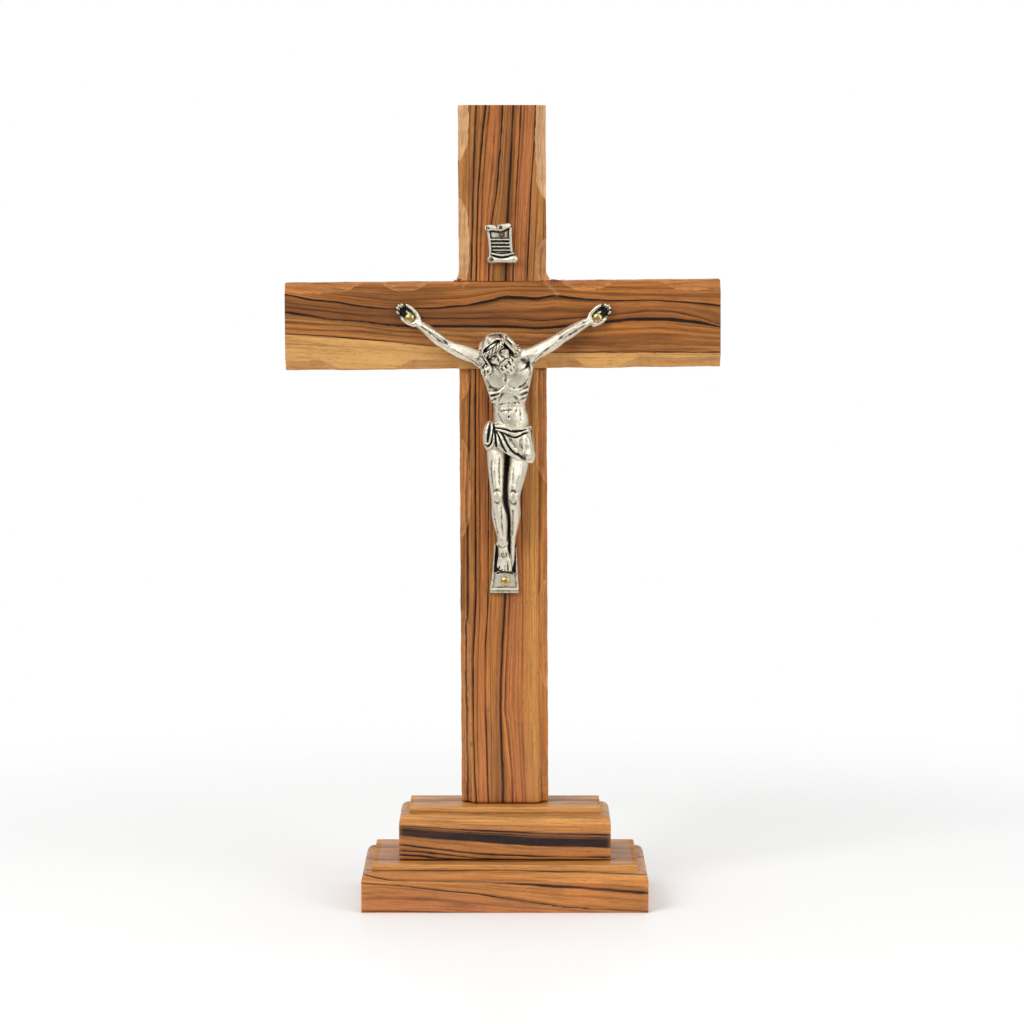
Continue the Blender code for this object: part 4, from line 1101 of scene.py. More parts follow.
    # crown of thorns: three wound strands and their spikes
    for strand in range(3):
        loop = []
        for angle in np.linspace(0, 2 * math.pi, 97):
            wind = angle * 7 + strand * 2 * math.pi / 3
            out, r, g = 0.42 * math.cos(wind), math.sin(angle), math.cos(angle)
            loop.append(
                at((3.95 + out) * r, (4.45 + out) * g - 0.2, 2.35 + 0.42 * math.sin(wind) - 0.5 * g, 0.3)
            )
        clay.tube(loop, 0.05, steps=1)
    for k in range(15):
        angle = 2 * math.pi * (k + 0.3 * (k % 2)) / 15
        rise = (0.7, -0.6, 0.2)[k % 3]
        r, g = math.sin(angle), math.cos(angle)
        clay.tube(
            [
                at(4.3 * r, 4.8 * g - 0.2, 2.35 - 0.5 * g, 0.24),
                at(5.1 * r + 0.25 * g, 5.6 * g - 0.25 * r - 0.2, 2.35 - 0.5 * g + rise, 0.08)
            ], 0.05
        )


def sculptCloth(clay):
    body = [
        (2.4, 5.2, -35.4, 6.6), (1.9, 5.4, -38.0, 7.4), (2.2, 5.6, -40.5, 7.5), (3.6, 5.8, -43.0, 6.3),
        (6.2, 5.9, -45.0, 3.9)
    ]
    clay.tube(body, 0.5, 0.62)
    clay.lump((7.2, 6.2, -44.2), (2.9, 3.2, 2.7), 0.6)
    clay.lump((-4.3, 6.3, -38.2), (2.5, 2.7, 5.3), 0.4)
    # cut off along the waist, lower in the middle than over the hips
    x, _, z = clay.grid
    waist = np.interp(
        x, [-8.0, -4.4, -2.5, -0.8, 0.8, 2.8, 3.8, 7.1, 9.4, 12.0],
        [-32.6, -32.8, -33.3, -34.1, -34.5, -35.3, -35.2, -35.1, -34.3, -34.0]
    )
    clay.trim((z - waist) * 0.9, 0.5)
    lift = 0.55
    # the waist rolled into two strands that cross, and the loop that hangs at the hip
    rolls = [
        [(-3.2, -35.2, 0.4), (-1.9, -35.3, 0.7), (-0.4, -35.3, 0.8), (1.0, -35.7, 0.75), (2.4, -36.4, 0.5)],
        [(2.8, -36.2, 0.35), (4.6, -36.2, 0.5), (6.6, -36.0, 0.55), (8.8, -35.6, 0.4)],
        [
            (-2.6, -36.2, 0.4), (-0.6, -36.6, 0.5), (0.8, -37.0, 0.6), (2.2, -37.6, 0.7), (3.8, -37.9, 0.7),
            (5.6, -37.3, 0.6), (7.6, -36.7, 0.55), (8.9, -36.6, 0.35)
        ],
        [
            (-4.7, -34.0, 0.35), (-5.4, -36.1, 0.5), (-5.7, -38.4, 0.5), (-5.7, -40.2, 0.5),
            (-5.2, -41.0, 0.45), (-4.5, -40.2, 0.45), (-4.1, -38.4, 0.45), (-3.75, -36.2, 0.45),
            (-3.9, -34.6, 0.35)
        ],
        [(-3.1, -36.4, 0.4), (-3.2, -39.2, 0.5), (-3.4, -40.9, 0.5), (-4.4, -42.1, 0.5), (-5.5, -42.7, 0.4)]
    ]
    clay.drawAll(rolls, 0.2, False, 0.25, lift)
    folds = [
        [(-2.2, -37.4, 0.4), (-1.8, -39.4, 0.6), (-1.2, -41.6, 0.65), (-0.3, -43.0, 0.4)],
        [
            (-1.5, -37.5, 0.4), (-0.5, -39.4, 0.65), (0.5, -41.3, 0.7), (1.8, -43.3, 0.65), (3.8, -44.9, 0.6),
            (6.4, -46.2, 0.5)
        ],
        [(0.5, -38.2, 0.4), (1.4, -39.8, 0.7), (2.6, -41.7, 0.7), (4.2, -43.4, 0.5)],
        [(4.3, -39.4, 0.4), (5.0, -42.2, 0.55), (6.4, -45.0, 0.4)],
        [(7.6, -39.4, 0.7), (8.0, -42.4, 0.9), (8.4, -45.2, 0.8)]
    ]
    clay.drawAll(folds, 0.5, False, 0.0, lift)
    cuts = [
        [(-4.7, -35.2, 0.18), (-4.85, -37.4, 0.34), (-5.05, -39.4, 0.32), (-5.05, -40.4, 0.15)],
        [
            (-3.2, -35.0, 0.2), (-3.45, -37.4, 0.26), (-3.9, -40.0, 0.28), (-4.7, -41.6, 0.26),
            (-5.9, -41.3, 0.2)
        ],
        [(-3.0, -35.6, 0.22), (-2.75, -37.4, 0.3), (-2.5, -39.4, 0.3), (-2.3, -41.8, 0.3)],
        [(-2.5, -36.8, 0.18), (-1.2, -39.1, 0.24), (-0.4, -41.3, 0.26), (0.9, -43.4, 0.24)],
        [
            (-1.1, -36.9, 0.2), (0.3, -38.8, 0.28), (1.1, -40.8, 0.28), (2.4, -42.8, 0.28),
            (3.6, -44.0, 0.26), (5.4, -44.8, 0.14)
        ],
        [(-2.4, -35.9, 0.2), (-0.8, -36.0, 0.22), (0.8, -36.3, 0.3), (2.4, -36.9, 0.26)],
        [(-1.0, -37.0, 0.2), (1.3, -37.9, 0.26), (3.3, -38.7, 0.3), (5.1, -38.3, 0.28), (6.4, -37.8, 0.2)],
        [(5.9, -37.6, 0.2), (6.7, -37.5, 0.32), (7.5, -37.4, 0.2)],
        [(8.2, -36.0, 0.14), (9.0, -37.0, 0.26), (9.1, -38.6, 0.22), (9.3, -40.6, 0.12)],
        [(3.6, -37.0, 0.12), (5.4, -36.9, 0.2), (7.2, -36.4, 0.12)]
    ]
    clay.drawAll(cuts, 0.22, True, -0.22, lift)
    soft = [
        [(2.2, -39.2, 0.3), (2.6, -40.4, 0.5), (3.5, -41.9, 0.25)],
        [(5.6, -39.0, 0.3), (5.6, -41.2, 0.5), (6.1, -44.2, 0.35), (6.9, -45.9, 0.2)],
        [(4.5, -44.2, 0.14), (5.6, -45.2, 0.2), (6.8, -46.2, 0.12)]
    ]
    clay.drawAll(soft, 0.5, True, 0.05, lift)
    # what hangs below the slanting hem is cut off
    hem = np.interp(
        x, [-7.0, -5.4, -3.0, -1.6, 0.9, 2.3, 5.6, 9.3, 10.6],
        [-43.4, -43.3, -41.8, -41.8, -43.6, -44.5, -46.8, -46.9, -45.5]
    )
    clay.trim((hem - z) * 0.8, 0.3)


def buildFigure(material):
    origin = (castingShift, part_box("corpus")[1].y, middleOf("hand_pin_left").z)
    pinZ = (middleOf("foot_pin").z - origin[2]) / mm
    body = Clay((-37, -0.6, -89.8), (37, 12.5, 6.2), 0.25)
    sculptTrunk(body)
    sculptArms(body)
    for side in (-1, 1):
        sculptHand(body, side)
    sculptLegs(body)
    sculptFeet(body)
    sculptPlate(body, pinZ)
    body.trim(0.05 - body.grid[1])
    for name in ("hand_pin_left", "hand_pin_right", "foot_pin"):
        middle = middleOf(name)
        x, z = middle.x / mm, (middle.z - origin[2]) / mm
        body.tube([(x, -1.0, z, 0.7), (x, 9.0, z, 0.7)], 0.0, carve=True)
    # what lies behind the legs, in the plate's recess and in the palms is painted black: patina and painted
    # shade
    shadedHollows = [
        ((-1.6, -1.0, -74.5), (4.4, 3.4, -41.0)), ((-2.9, -1.0, pinZ + 3.1), (4.1, 1.3, -73.9)),
        ((-35.6, -1.0, 0.4), (-31.4, 2.0, 3.6)), ((31.4, -1.0, 0.4), (35.6, 2.0, 3.6))
    ]
    head = Clay((-11.4, 1.6, -21), (8.0, 16.2, -2.0), 0.14)
    sculptHead(head)
    cloth = Clay((-8.2, 0.5, -48.4), (12, 12.2, -31.6), 0.2)
    sculptCloth(cloth)
    return [
        casting("corpusBody", body, origin, material, shadedHollows),
        casting("corpusCloth", cloth, origin, material), casting("corpusHead", head, origin, material)
    ]


# ---- scroll


def buildScroll(material):
    # an open sheet with rolled ends. z runs up from the height of its pin
    centre = middleOf("scroll_pin")
    clay = Clay((-6.8, -0.3, -10.4), (6.8, 4.4, 5.0), 0.11)
    x, f, z = clay.grid
    share = np.clip((2.0 - z) / 9.5, 0, 1)
    left = -5.6 + 0.95 * share + 0.25 * np.sin(share * math.pi)
    right = 2.6 + 0.6 * share - 0.25 * np.sin(share * math.pi)
    edge = within(left - x, x - right)
    outline = within(edge, z - 2.4, -8.4 - z, 0.05 - f)
    swell = (0.5 + 0.45 * share) * 0.6
    clay.add(within(outline, f - 0.6 - swell), 0.2)
    clay.add(within(outline, -0.75 - edge, f - 1.25 - swell), 0.2)
    rolls = [
        [(-5.2, 1.4, 2.2, 1.1), (-3.6, 1.45, 2.35, 0.95), (-2.2, 1.3, 2.0, 0.85)],
        [(-1.0, 1.6, 2.3, 1.25), (0.6, 1.5, 2.75, 1.0), (1.6, 1.3, 3.0, 0.85)],
        [
            (-4.0, 1.5, -7.9, 1.3), (-1.5, 1.3, -8.1, 0.9), (0.8, 1.3, -8.1, 0.95), (2.6, 1.6, -7.9, 1.25),
            (3.4, 1.7, -7.8, 1.3)
        ]
    ]
    for roll in rolls:
        clay.tube(roll, 0.15)
    # the hollow ends of the rolls, which patina and painted shade darken, and the turns inside them
    for hx, hz, radius in ((-5.0, 2.25, 0.66), (-0.9, 2.4, 0.7), (-3.9, -7.9, 0.78)):
        clay.tube([(hx, 3.6, hz, radius), (hx - 0.2, 1.6, hz, radius * 0.8)], 0.1, carve=True)
        out = radius * 0.5
        turn = [(hx + out * math.cos(a), 2.2, hz + out * math.sin(a), 0.1) for a in np.linspace(0.6, 5.2, 7)]
        clay.tube(turn, 0.05, steps=1)
    for k in range(4):
        deep = 3.3 - 0.1 * k
        clay.tube([(1.6 + 0.55 * k, deep, -6.9, 0.12), (1.9 + 0.5 * k, deep, -8.8, 0.12)], 0.1, carve=True)
    clay.tube([(-3.6, 1.95, -6.1, 0.3), (-0.4, 2.0, -6.6, 0.34), (3.2, 1.95, -6.0, 0.3)], 0.15)
    cuts = [
        [(-3.8, 1.8, -6.6, 0.12), (-0.4, 1.9, -7.05, 0.16), (3.4, 1.8, -6.6, 0.12)],
        [(0.5, 3.0, 1.9, 0.14), (0.9, 3.0, 3.4, 0.14)], [(1.2, 2.8, 2.2, 0.12), (1.5, 2.8, 3.6, 0.12)],
        [(-3.4, 2.7, 1.6, 0.14), (-3.0, 2.7, 3.0, 0.14)]
    ]
    for cut in cuts:
        clay.tube(cut, 0.1, carve=True)
    # ruled strokes where writing would be
    for row in range(4):
        start, length, height = -4.0 + 0.2 * row, 5.7 - 0.1 * row, -1.5 - row * 1.15
        gaps = ((0, 0.36), (0.44, 0.7), (0.78, 1.0)) if row % 2 else ((0, 0.24), (0.32, 0.62), (0.7, 1.0))
        for ends in gaps:
            clay.tube([(start + length * share, 1.45, height, 0.24) for share in ends], 0.1)
    bore = centre.x / mm + 0.4
    clay.tube([(bore, -1.0, 0.0, 0.62), (bore, 5.0, 0.0, 0.62)], 0.0, carve=True)
    clay.trim(0.05 - f)
    return casting("scrollWorked", clay, (castingShift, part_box("scroll")[1].y, centre.z), material)


# ---- pins, screws and dowels


def metalMaterial(name, tones, roughness, dents, dentSize):
    # a worn plain metal: tones that drift into each other, fine scratches and hammer dents
    material, nodes = newMaterial(name)
    coords = nodes.coords()
    drift, fine = nodes.noise(coords, 1400.0, 3.0), nodes.noise(coords, 6500.0, 2.0)
    cells = nodes.out("ShaderNodeTexVoronoi", {"Vector": coords, "Scale": dentSize}, feature="SMOOTH_F1")
    values = {
        "Base Color": nodes.ramp(drift, list(zip((0.34, 0.5, 0.68), tones, strict=True))), "Metallic": 1.0,
        "Roughness": nodes.spread(fine, 0.3, 0.7, *roughness)
    }
    nodes.principled(values, nodes.calc("MULTIPLY_ADD", cells, 0.7, fine), dents)
    return material


def lathed(name, profile, place, direction, material, steps=40):
    # profile is (radius, distance along the direction), in millimetres, from one end to the other
    move = Matrix.Translation(place) @ Vector(direction).to_track_quat("Z", "Y").to_matrix().to_4x4()
    angles = [2 * math.pi * k / steps for k in range(steps)]
    rings = [
        [
            move @ (Vector((radius * math.cos(angle), radius * math.sin(angle), reach)) * mm)
            for angle in angles
        ] for radius, reach in profile
    ]
    return outward(meshPiece(name, *stitched(rings), material, 35))


def pinProfile(length, radius, head, height=0.7, rim=0.12):
    # from the point to the top of the domed head
    profile = [(0.02, 0.0), (radius * 0.6, 0.8), (radius, 1.5), (radius, length), (head * 0.93, length)]
    angles = [math.pi / 2 * k / 8 for k in range(9)]
    dome = [(max(head * math.cos(a), 0.02), length + rim + (height - rim) * math.sin(a)) for a in angles]
    return profile + dome


def buildPins(brass, aged):
    pins = {"hand_pin_left": 1.45, "hand_pin_right": 1.45, "foot_pin": 1.45, "scroll_pin": 0.9}
    for node, head in pins.items():
        low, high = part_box(node)
        middle = middleOf(node)
        profile = pinProfile((high.y - low.y) / mm - 0.7, 0.6, head)
        metal, slotName = (aged, "aged_brass") if node == "scroll_pin" else (brass, "pin_brass")
        tip = Vector((middle.x - 0.0004, high.y, middle.z))
        kept(lathed(node + "Worked", profile, tip, (0, -1, 0), metal), node, slotName)


def screwTree():
    # a thread swept round a tapering core: a helix given a triangular section
    inputs = {"Radius": "Float", "Length": "Float", "Turns": "Float", "Metal": "Material"}
    tree, nodes, given = groupTree("screwThread", "GeometryNodeTree", inputs, {"Geometry": "Geometry"})
    radius, turns, length = given["Radius"], given["Turns"], given["Length"]
    spiral = {
        "Resolution": 24, "Rotations": turns, "Start Radius": radius, "End Radius": radius, "Height": length
    }
    helix = nodes.out("GeometryNodeCurveSpiral", spiral)
    blade = nodes.out("GeometryNodeCurvePrimitiveCircle", {"Resolution": 3, "Radius": 0.00042}, mode="RADIUS")
    swept = nodes.out("GeometryNodeCurveToMesh", {"Curve": helix, "Profile Curve": blade, "Fill Caps": True})
    geometryEnd(nodes, swept, given["Metal"])
    return tree


def buildScrews(steel):
    tree = screwTree()
    head, point = 4.4, 4.2  # plain below the thread and above it
    for node in ("shaft_screw", "block_screw_left", "block_screw_right"):
        low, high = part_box(node)
        base, total = Vector((*middleOf(node).xy, low.z)), (high.z - low.z) / mm
        profile = [
            (0.02, 1.3), (0.9, 1.1), (1.0, 0.0), (3.3, 0.0), (3.5, 0.25), (3.3, 0.5), (1.8, 2.2), (1.75, 2.4)
        ]
        profile += [(1.35, 3.0), (1.35, total - point), (0.02, total)]
        core = lathed(node + "Core", profile, base, (0, 0, 1), steel)
        length = total - head - point
        values = {"Radius": 0.00138, "Length": length * mm, "Turns": length / 1.5, "Metal": steel}
        thread = grown(node + "Thread", tree, values)
        thread.data.transform(Matrix.Translation(base + Vector((0, 0, head * mm))))
        kept(outward(thread), None, "screw_steel")
        kept(core, node, "screw_steel")


def buildDowels(material):
    for node in ("dowel_left", "dowel_right"):
        low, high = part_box(node)
        total, radius = (high.z - low.z) / mm, (high.x - low.x) / 2 / mm
        profile = [(radius - 0.35, 0.0), (radius, 0.45), (radius, total - 0.45), (radius - 0.35, total)]
        base = Vector((*middleOf(node).xy, low.z))
        kept(lathed(node + "Worked", profile, base, (0, 0, 1), material), node, "dowel_wood")


# ---- shaft and crossbar

crossLean = {"shaft": 0.0045, "crossbar": 0.0087}
baseTop = 0.032


def leaned(points):
    # the cross leans a little to the viewer's left on its level base
    points[:, 0] -= crossLean["shaft"] * (points[:, 2] - baseTop)
    return points


def waver(along, seed, size):
    # the small unevenness of a hand-cut edge
    slow, quick = 0.5 * np.sin(along * 0.31 + seed), 0.3 * np.sin(along * 0.83 + seed * 2.3)
    return size * (slow + quick + 0.2 * np.sin(along * 1.9 + seed))


def scoopDepth(along, board, spans):
    # how far the carving reaches in from an edge at each place along it, and how pale the cut is.
    # A span is (low, high, low end open, high end open, paleness)
    depth, pale = np.zeros(len(along)), np.zeros(len(along))
    for low, high, lowOpen, highOpen, paleness in spans:
        run = min(board["runOut"], (high - low) / 2)
        rise = np.ones(len(along))
        for reach, isOpen in ((along - low, lowOpen), (high - along, highOpen)):
            if not isOpen:
                rise = np.minimum(rise, np.sin(np.clip(reach / run, 0, 1) * math.pi / 2))
        rise = np.where((along >= low) & (along <= high), rise, 0)
        pale = np.where(rise > 0, paleness + (1 - rise) * 0.35, pale)
        depth = np.maximum(depth, rise * board["scoopWidth"])
    return depth, np.minimum(pale, 1)


def boardStations(board):
    # places along a board, closer at its ends and doubled where its lap begins and ends
    start, end = board["span"]
    steps = [
        start, start + 0.12, start + 0.3, *np.arange(start + 0.6, end - 0.5, 0.5), end - 0.3, end - 0.12, end
    ]
    steps = [t for t in steps if min(abs(t - edge) for edge in board["lap"]) > 0.12]
    return np.array(sorted([*steps, *(edge + side * 0.01 for edge in board["lap"] for side in (-1, 1))]))


def boardSection(board, t, inLap, chamfers, pales):
    # one ring round the board, (across, depth behind the front), and how pale it is at each point, with a
    # painted highlight along the rim of each scoop
    thick, ease, inset = board["thickness"], 0.22, board["endEase"](t)
    cutFront = inLap and board["lapSide"] == "front"
    f = (board["lapDepth"] if cutFront else 0.0) + inset
    b = (board["lapDepth"] if inLap and not cutFront else thick) - inset
    left, right = (ease, ease) if cutFront else chamfers
    wide = board["width"] / 2 - inset
    low = -wide + waver(t, board["seed"], 0.08) * (inset == 0) - board["flare"](t, -1)
    high = wide + waver(t, board["seed"] + 4, 0.08) * (inset == 0) + board["flare"](t, 1)
    hollowed = [(share, 0.16 * math.sin(math.pi * share)) for share in (0.02, 0.25, 0.5, 0.75, 0.98)]
    row = [(low + left + (high - right - low - left) * share, f) for share in np.linspace(0, 1, 46)]
    row += [
        (high - right * (1 - share) - right * deep, f + right * share + right * deep) for share,
        deep in hollowed
    ]
    row += [(high, f + right + (b - ease - f - right) * share) for share in np.linspace(0.02, 1, 9)]
    row += [(high - ease - (high - low - 2 * ease) * share, b) for share in np.linspace(0, 1, 20)]
    row += [(low, b - ease - (b - ease - f - left) * share) for share in np.linspace(0, 0.98, 9)]
    row += [
        (low + left * share + left * deep, f + left * (1 - share) + left * deep) for share, deep in hollowed
    ]
    # the point at each scoop's rim is drawn half as pale again: a painted highlight
    rimHighlight = [1.5, 1.0, 1.0, 1.0, 1.0]
    pale = [0] * 46 + [pales[1] * k for k in rimHighlight] + [0] * 38 + [pales[0] * k for k in rimHighlight[::-1]]
    return [(t, across, depth) for across, depth in row], pale


def capped(ring):
    # rings that close in on the middle of an end, so that its grain is drawn across it
    middle = np.mean(ring, 0)
    return [[tuple(middle + (np.array(p) - middle) * k) for p in ring] for k in (0.85, 0.68, 0.5, 0.33, 0.15)]


def scarred(board, local, cut):
    # pale torn wood along short paths, sunk a little into the front
    along, across = local[:, 0], local[:, 1]
    for scar in board["scars"]:
        path, near = np.array(scar["path"], float), np.full(len(local), 99.0)
        for a, b in zip(path[:-1], path[1:], strict=True):
            d = b - a
            t = np.clip(((along - a[0]) * d[0] + (across - a[1]) * d[1]) / (d @ d), 0, 1)
            near = np.minimum(near, np.hypot(along - a[0] - d[0] * t, across - a[1] - d[1] * t))
        ragged = scar["width"] * (1 + 0.35 * np.sin(along * 5.1 + across * 3.3))
        touch = 0.4 * np.clip(1.5 - near / ragged, 0, 1) * (local[:, 2] < 1.5)
        cut = np.maximum(cut, touch)
        local[:, 2] += touch * 0.12
    return cut


def buildBoard(name, board, place):
    # place turns (along, across, depth behind the front), in millimetres, into the cross's own frame
    stations = boardStations(board)
    lapLow, lapHigh = board["lap"]
    chamfers, pales = [], []
    for side in (-1, 1):
        deep, pale = scoopDepth(stations, board, board["scoops"][side])
        deep = deep * (1 + waver(stations, board["seed"] + side, 0.12))
        pales.append(np.clip((deep - 0.5) / 0.5, 0, 1) * pale)
        chamfers.append(np.maximum(deep, 0.22))
    rows, cut = [], []
    for k, t in enumerate(stations):
        sides = [[values[k] for values in both] for both in (chamfers, pales)]
        row, pale = boardSection(board, t, lapLow < t < lapHigh, *sides)
        rows.append(row)
        cut.append(pale)
    head, tail = capped(rows[0])[::-1], capped(rows[-1])
    vertices, faces = stitched(head + rows + tail)
    local = np.array(vertices)
    cut = np.pad(np.ravel(cut).astype(float), len(rows[0]) * len(head))
    cut = scarred(board, local, cut)
    piece = outward(meshPiece(name, place(local), faces, oliveMaterial(name + " olive", board), 24))
    figureValues(piece, board, local[:, 0], local[:, 1] + board["tilt"] * local[:, 2])
    pointValues(piece, "cut", cut)
    return piece


def noFlare(along, side):
    return 0.0


def shaftFlare(along, side):
    # the shaft's wood spreads where it meets the crossbar's top
    above = along - 203.35
    if above < 0 or above > 3.2:
        return 0.0
    return (1.5 if side > 0 else 0.9) * (1 - above / 3.2) ** 2


def roundedEnd(gap, radius):
    # how far an edge draws in at a distance from a rounded end
    return radius - math.sqrt(max(radius**2 - (radius - gap) ** 2, 0)) if gap < radius else 0.0


def shaftEnds(along):
    return roundedEnd(along - 32.2, 0.8) or roundedEnd(260.0 - along, 0.22)


def barEnds(along):
    return roundedEnd(70.7 - abs(along), 0.25)


def splinterTree():
    # slivers of torn wood scattered along a line, each turned and sized at random
    inputs = {
        "Start": "Vector", "Stop": "Vector", "Count": "Int", "Turn": "Float", "Seed": "Int",
        "Wood": "Material"
    }
    tree, nodes, given = groupTree("splinters", "GeometryNodeTree", inputs, {"Geometry": "Geometry"})

    def random(low, high):
        values = {0: low, 1: high, "Seed": given["Seed"]}
        return nodes.out("FunctionNodeRandomValue", values, data_type="FLOAT_VECTOR")

    line = nodes.out("GeometryNodeCurvePrimitiveLine", {"Start": given["Start"], "End": given["Stop"]})
    points = nodes.out("GeometryNodeCurveToPoints", {"Curve": line, "Count": given["Count"]}, mode="COUNT")
    cone = {
        "Vertices": 6, "Side Segments": 5, "Radius Top": 0.00004, "Radius Bottom": 0.00032, "Depth": 0.003
    }
    sliver = nodes.out("GeometryNodeMeshCone", cone)
    aim = nodes.out("ShaderNodeCombineXYZ", {"Y": given["Turn"]})
    tilt = random((0.9, -0.5, -0.35), (1.7, 0.5, 0.35))
    turn = nodes.out("ShaderNodeVectorMath", {0: tilt, 1: aim}, operation="ADD")
    placing = {"Points": points, "Instance": sliver, "Rotation": turn}
    placing["Scale"] = random((0.5, 0.5, 0.35), (1.2, 1.2, 1.0))
    geometryEnd(nodes, nodes.out("GeometryNodeInstanceOnPoints", placing), given["Wood"])
    return tree


def buildSplinters(wood):
    tree = splinterTree()
    corners = {
        "splintersLeft": ((-16.2, -4.6, 203.2), (-14.4, -4.0, 203.7), 9, -0.9, 3),
        "splintersRight": ((14.6, -4.8, 203.5), (17.6, -4.2, 203.3), 12, 0.9, 8)
    }
    for name, (start, stop, count, turn, seed) in corners.items():
        values = {"Start": [value * mm for value in start], "Stop": [value * mm for value in stop]}
        values |= {"Count": count, "Turn": turn, "Seed": seed, "Wood": wood}
        kept(outward(grown(name, tree, values)), None, "cross_wood")


setStage()
oliveGrainGroup()

lowerBoard = {
    "axes": "XZY", "edges": (-3.0, 24.0), "tilt": 0.16, "wander": 0.0007, "jitter": 0.0004, "seed": 3.0,
    "grounds": [
        (-3, "rose"), (3, "rose"), (7, "tan"), (11, "orange"), (14, "gold"), (18, "tan"), (24, "gold")
    ],
    "lines": [
        grainLine(0.4, 0.25, 0.6, [(-47, 0.6), (-23, 0.4), (0, -0.8), (47, -2.2)]),
        grainLine(4.4, 0.5, 0.3, [(-47, 4.7), (-23, 4.2), (0, 2.2), (47, -1.0)]),
        grainLine(
            7.0, 0.3, 0.62, [(-47, 9.8), (-34, 9.1), (-22, 7.5), (-10, 6.2), (0, 4.6), (20, 1.6), (47, 0.3)],
            halo=2.4
        ),
        grainLine(
            10.2, 0.34, 0.85,
            [(-47, 13.2), (-43, 11.7), (-37, 10.4), (-10, 10.1), (8, 9.4), (27, 8.1), (47, 6.3)], halo=2.6
        ),
        grainLine(13.6, 0.25, 0.6, [(-47, 13.8), (0, 13.9), (25, 13.4), (47, 12.4)]),
        grainLine(17.0, 0.4, 0.5, [(-47, 17.2), (0, 16.6), (47, 17.6)]),
        grainLine(20.6, 0.6, 0.4, [(-47, 21.0), (0, 20.2), (47, 20.4)])
    ],
    "quiet": [(-30, 4.4, 12, 1, 0.2)],
    "patches": [(-36, 6, 9, 3, 0.4), (30, 3, 16, 3, 0.3), (0, 12, 20, 1.5, -0.2)], "cloudy": 0.35,
    "veined": 0.35
}
upperBoard = {
    "axes": "XZY", "edges": (-3.0, 24.0), "tilt": 0.16, "wander": 0.0006, "jitter": 0.0006, "seed": 9.0,
    "grounds": [(-3, "tan"), (2, "tan"), (5, "tan"), (8, "brown"), (10, "tan"), (12, "gold"), (24, "gold")],
    "lines": [
        grainLine(0.6, 0.35, 0.8, [(-35, 1.4), (-28, 1.1), (-21, 0.3), (0, -0.9), (35, -1.6)]),
        grainLine(1.8, 0.35, 0.7, [(-35, 2.9), (-26, 2.4), (-18, 1.3), (-8, 0.2), (35, -0.9)]),
        grainLine(3.2, 0.3, 0.75, [(-35, 4.9), (-22, 3.3), (-10, 1.8), (3, 1.2), (35, 0.7)]),
        grainLine(6.2, 1.0, 0.9, [(-35, 8.9), (-10, 6.9), (8, 5.5), (35, 4.7)], halo=1.4),
        grainLine(7.5, 1.0, 1.05, [(-35, 9.9), (-10, 7.9), (8, 6.8), (35, 5.9)], halo=1.4),
        grainLine(8.7, 0.3, 0.8, [(-35, 10.6), (-10, 8.8), (8, 7.7), (35, 6.9)], halo=1.4),
        grainLine(9.6, 0.35, 0.8, [(-35, 11.2), (-10, 9.6), (8, 8.7), (35, 8.0)], -1),
        grainLine(15.6, 0.3, 0.35, [(-35, 15.9), (0, 15.2), (35, 15.4)]),
        grainLine(19.4, 0.5, 0.4, [(-35, 19.0), (0, 19.6), (35, 19.2)])
    ],
    "quiet": [(24, 2, 16, 2, 0.3)],
    "patches": [(0, 7, 60, 1.6, -0.35), (20, 11, 14, 1.4, 0.3), (-28, 3, 6, 2, 0.3)], "cloudy": 0.3,
    "veined": 0.45
}
buildBlock("lower_block", lowerBoard)
buildBlock("upper_block", upperBoard)

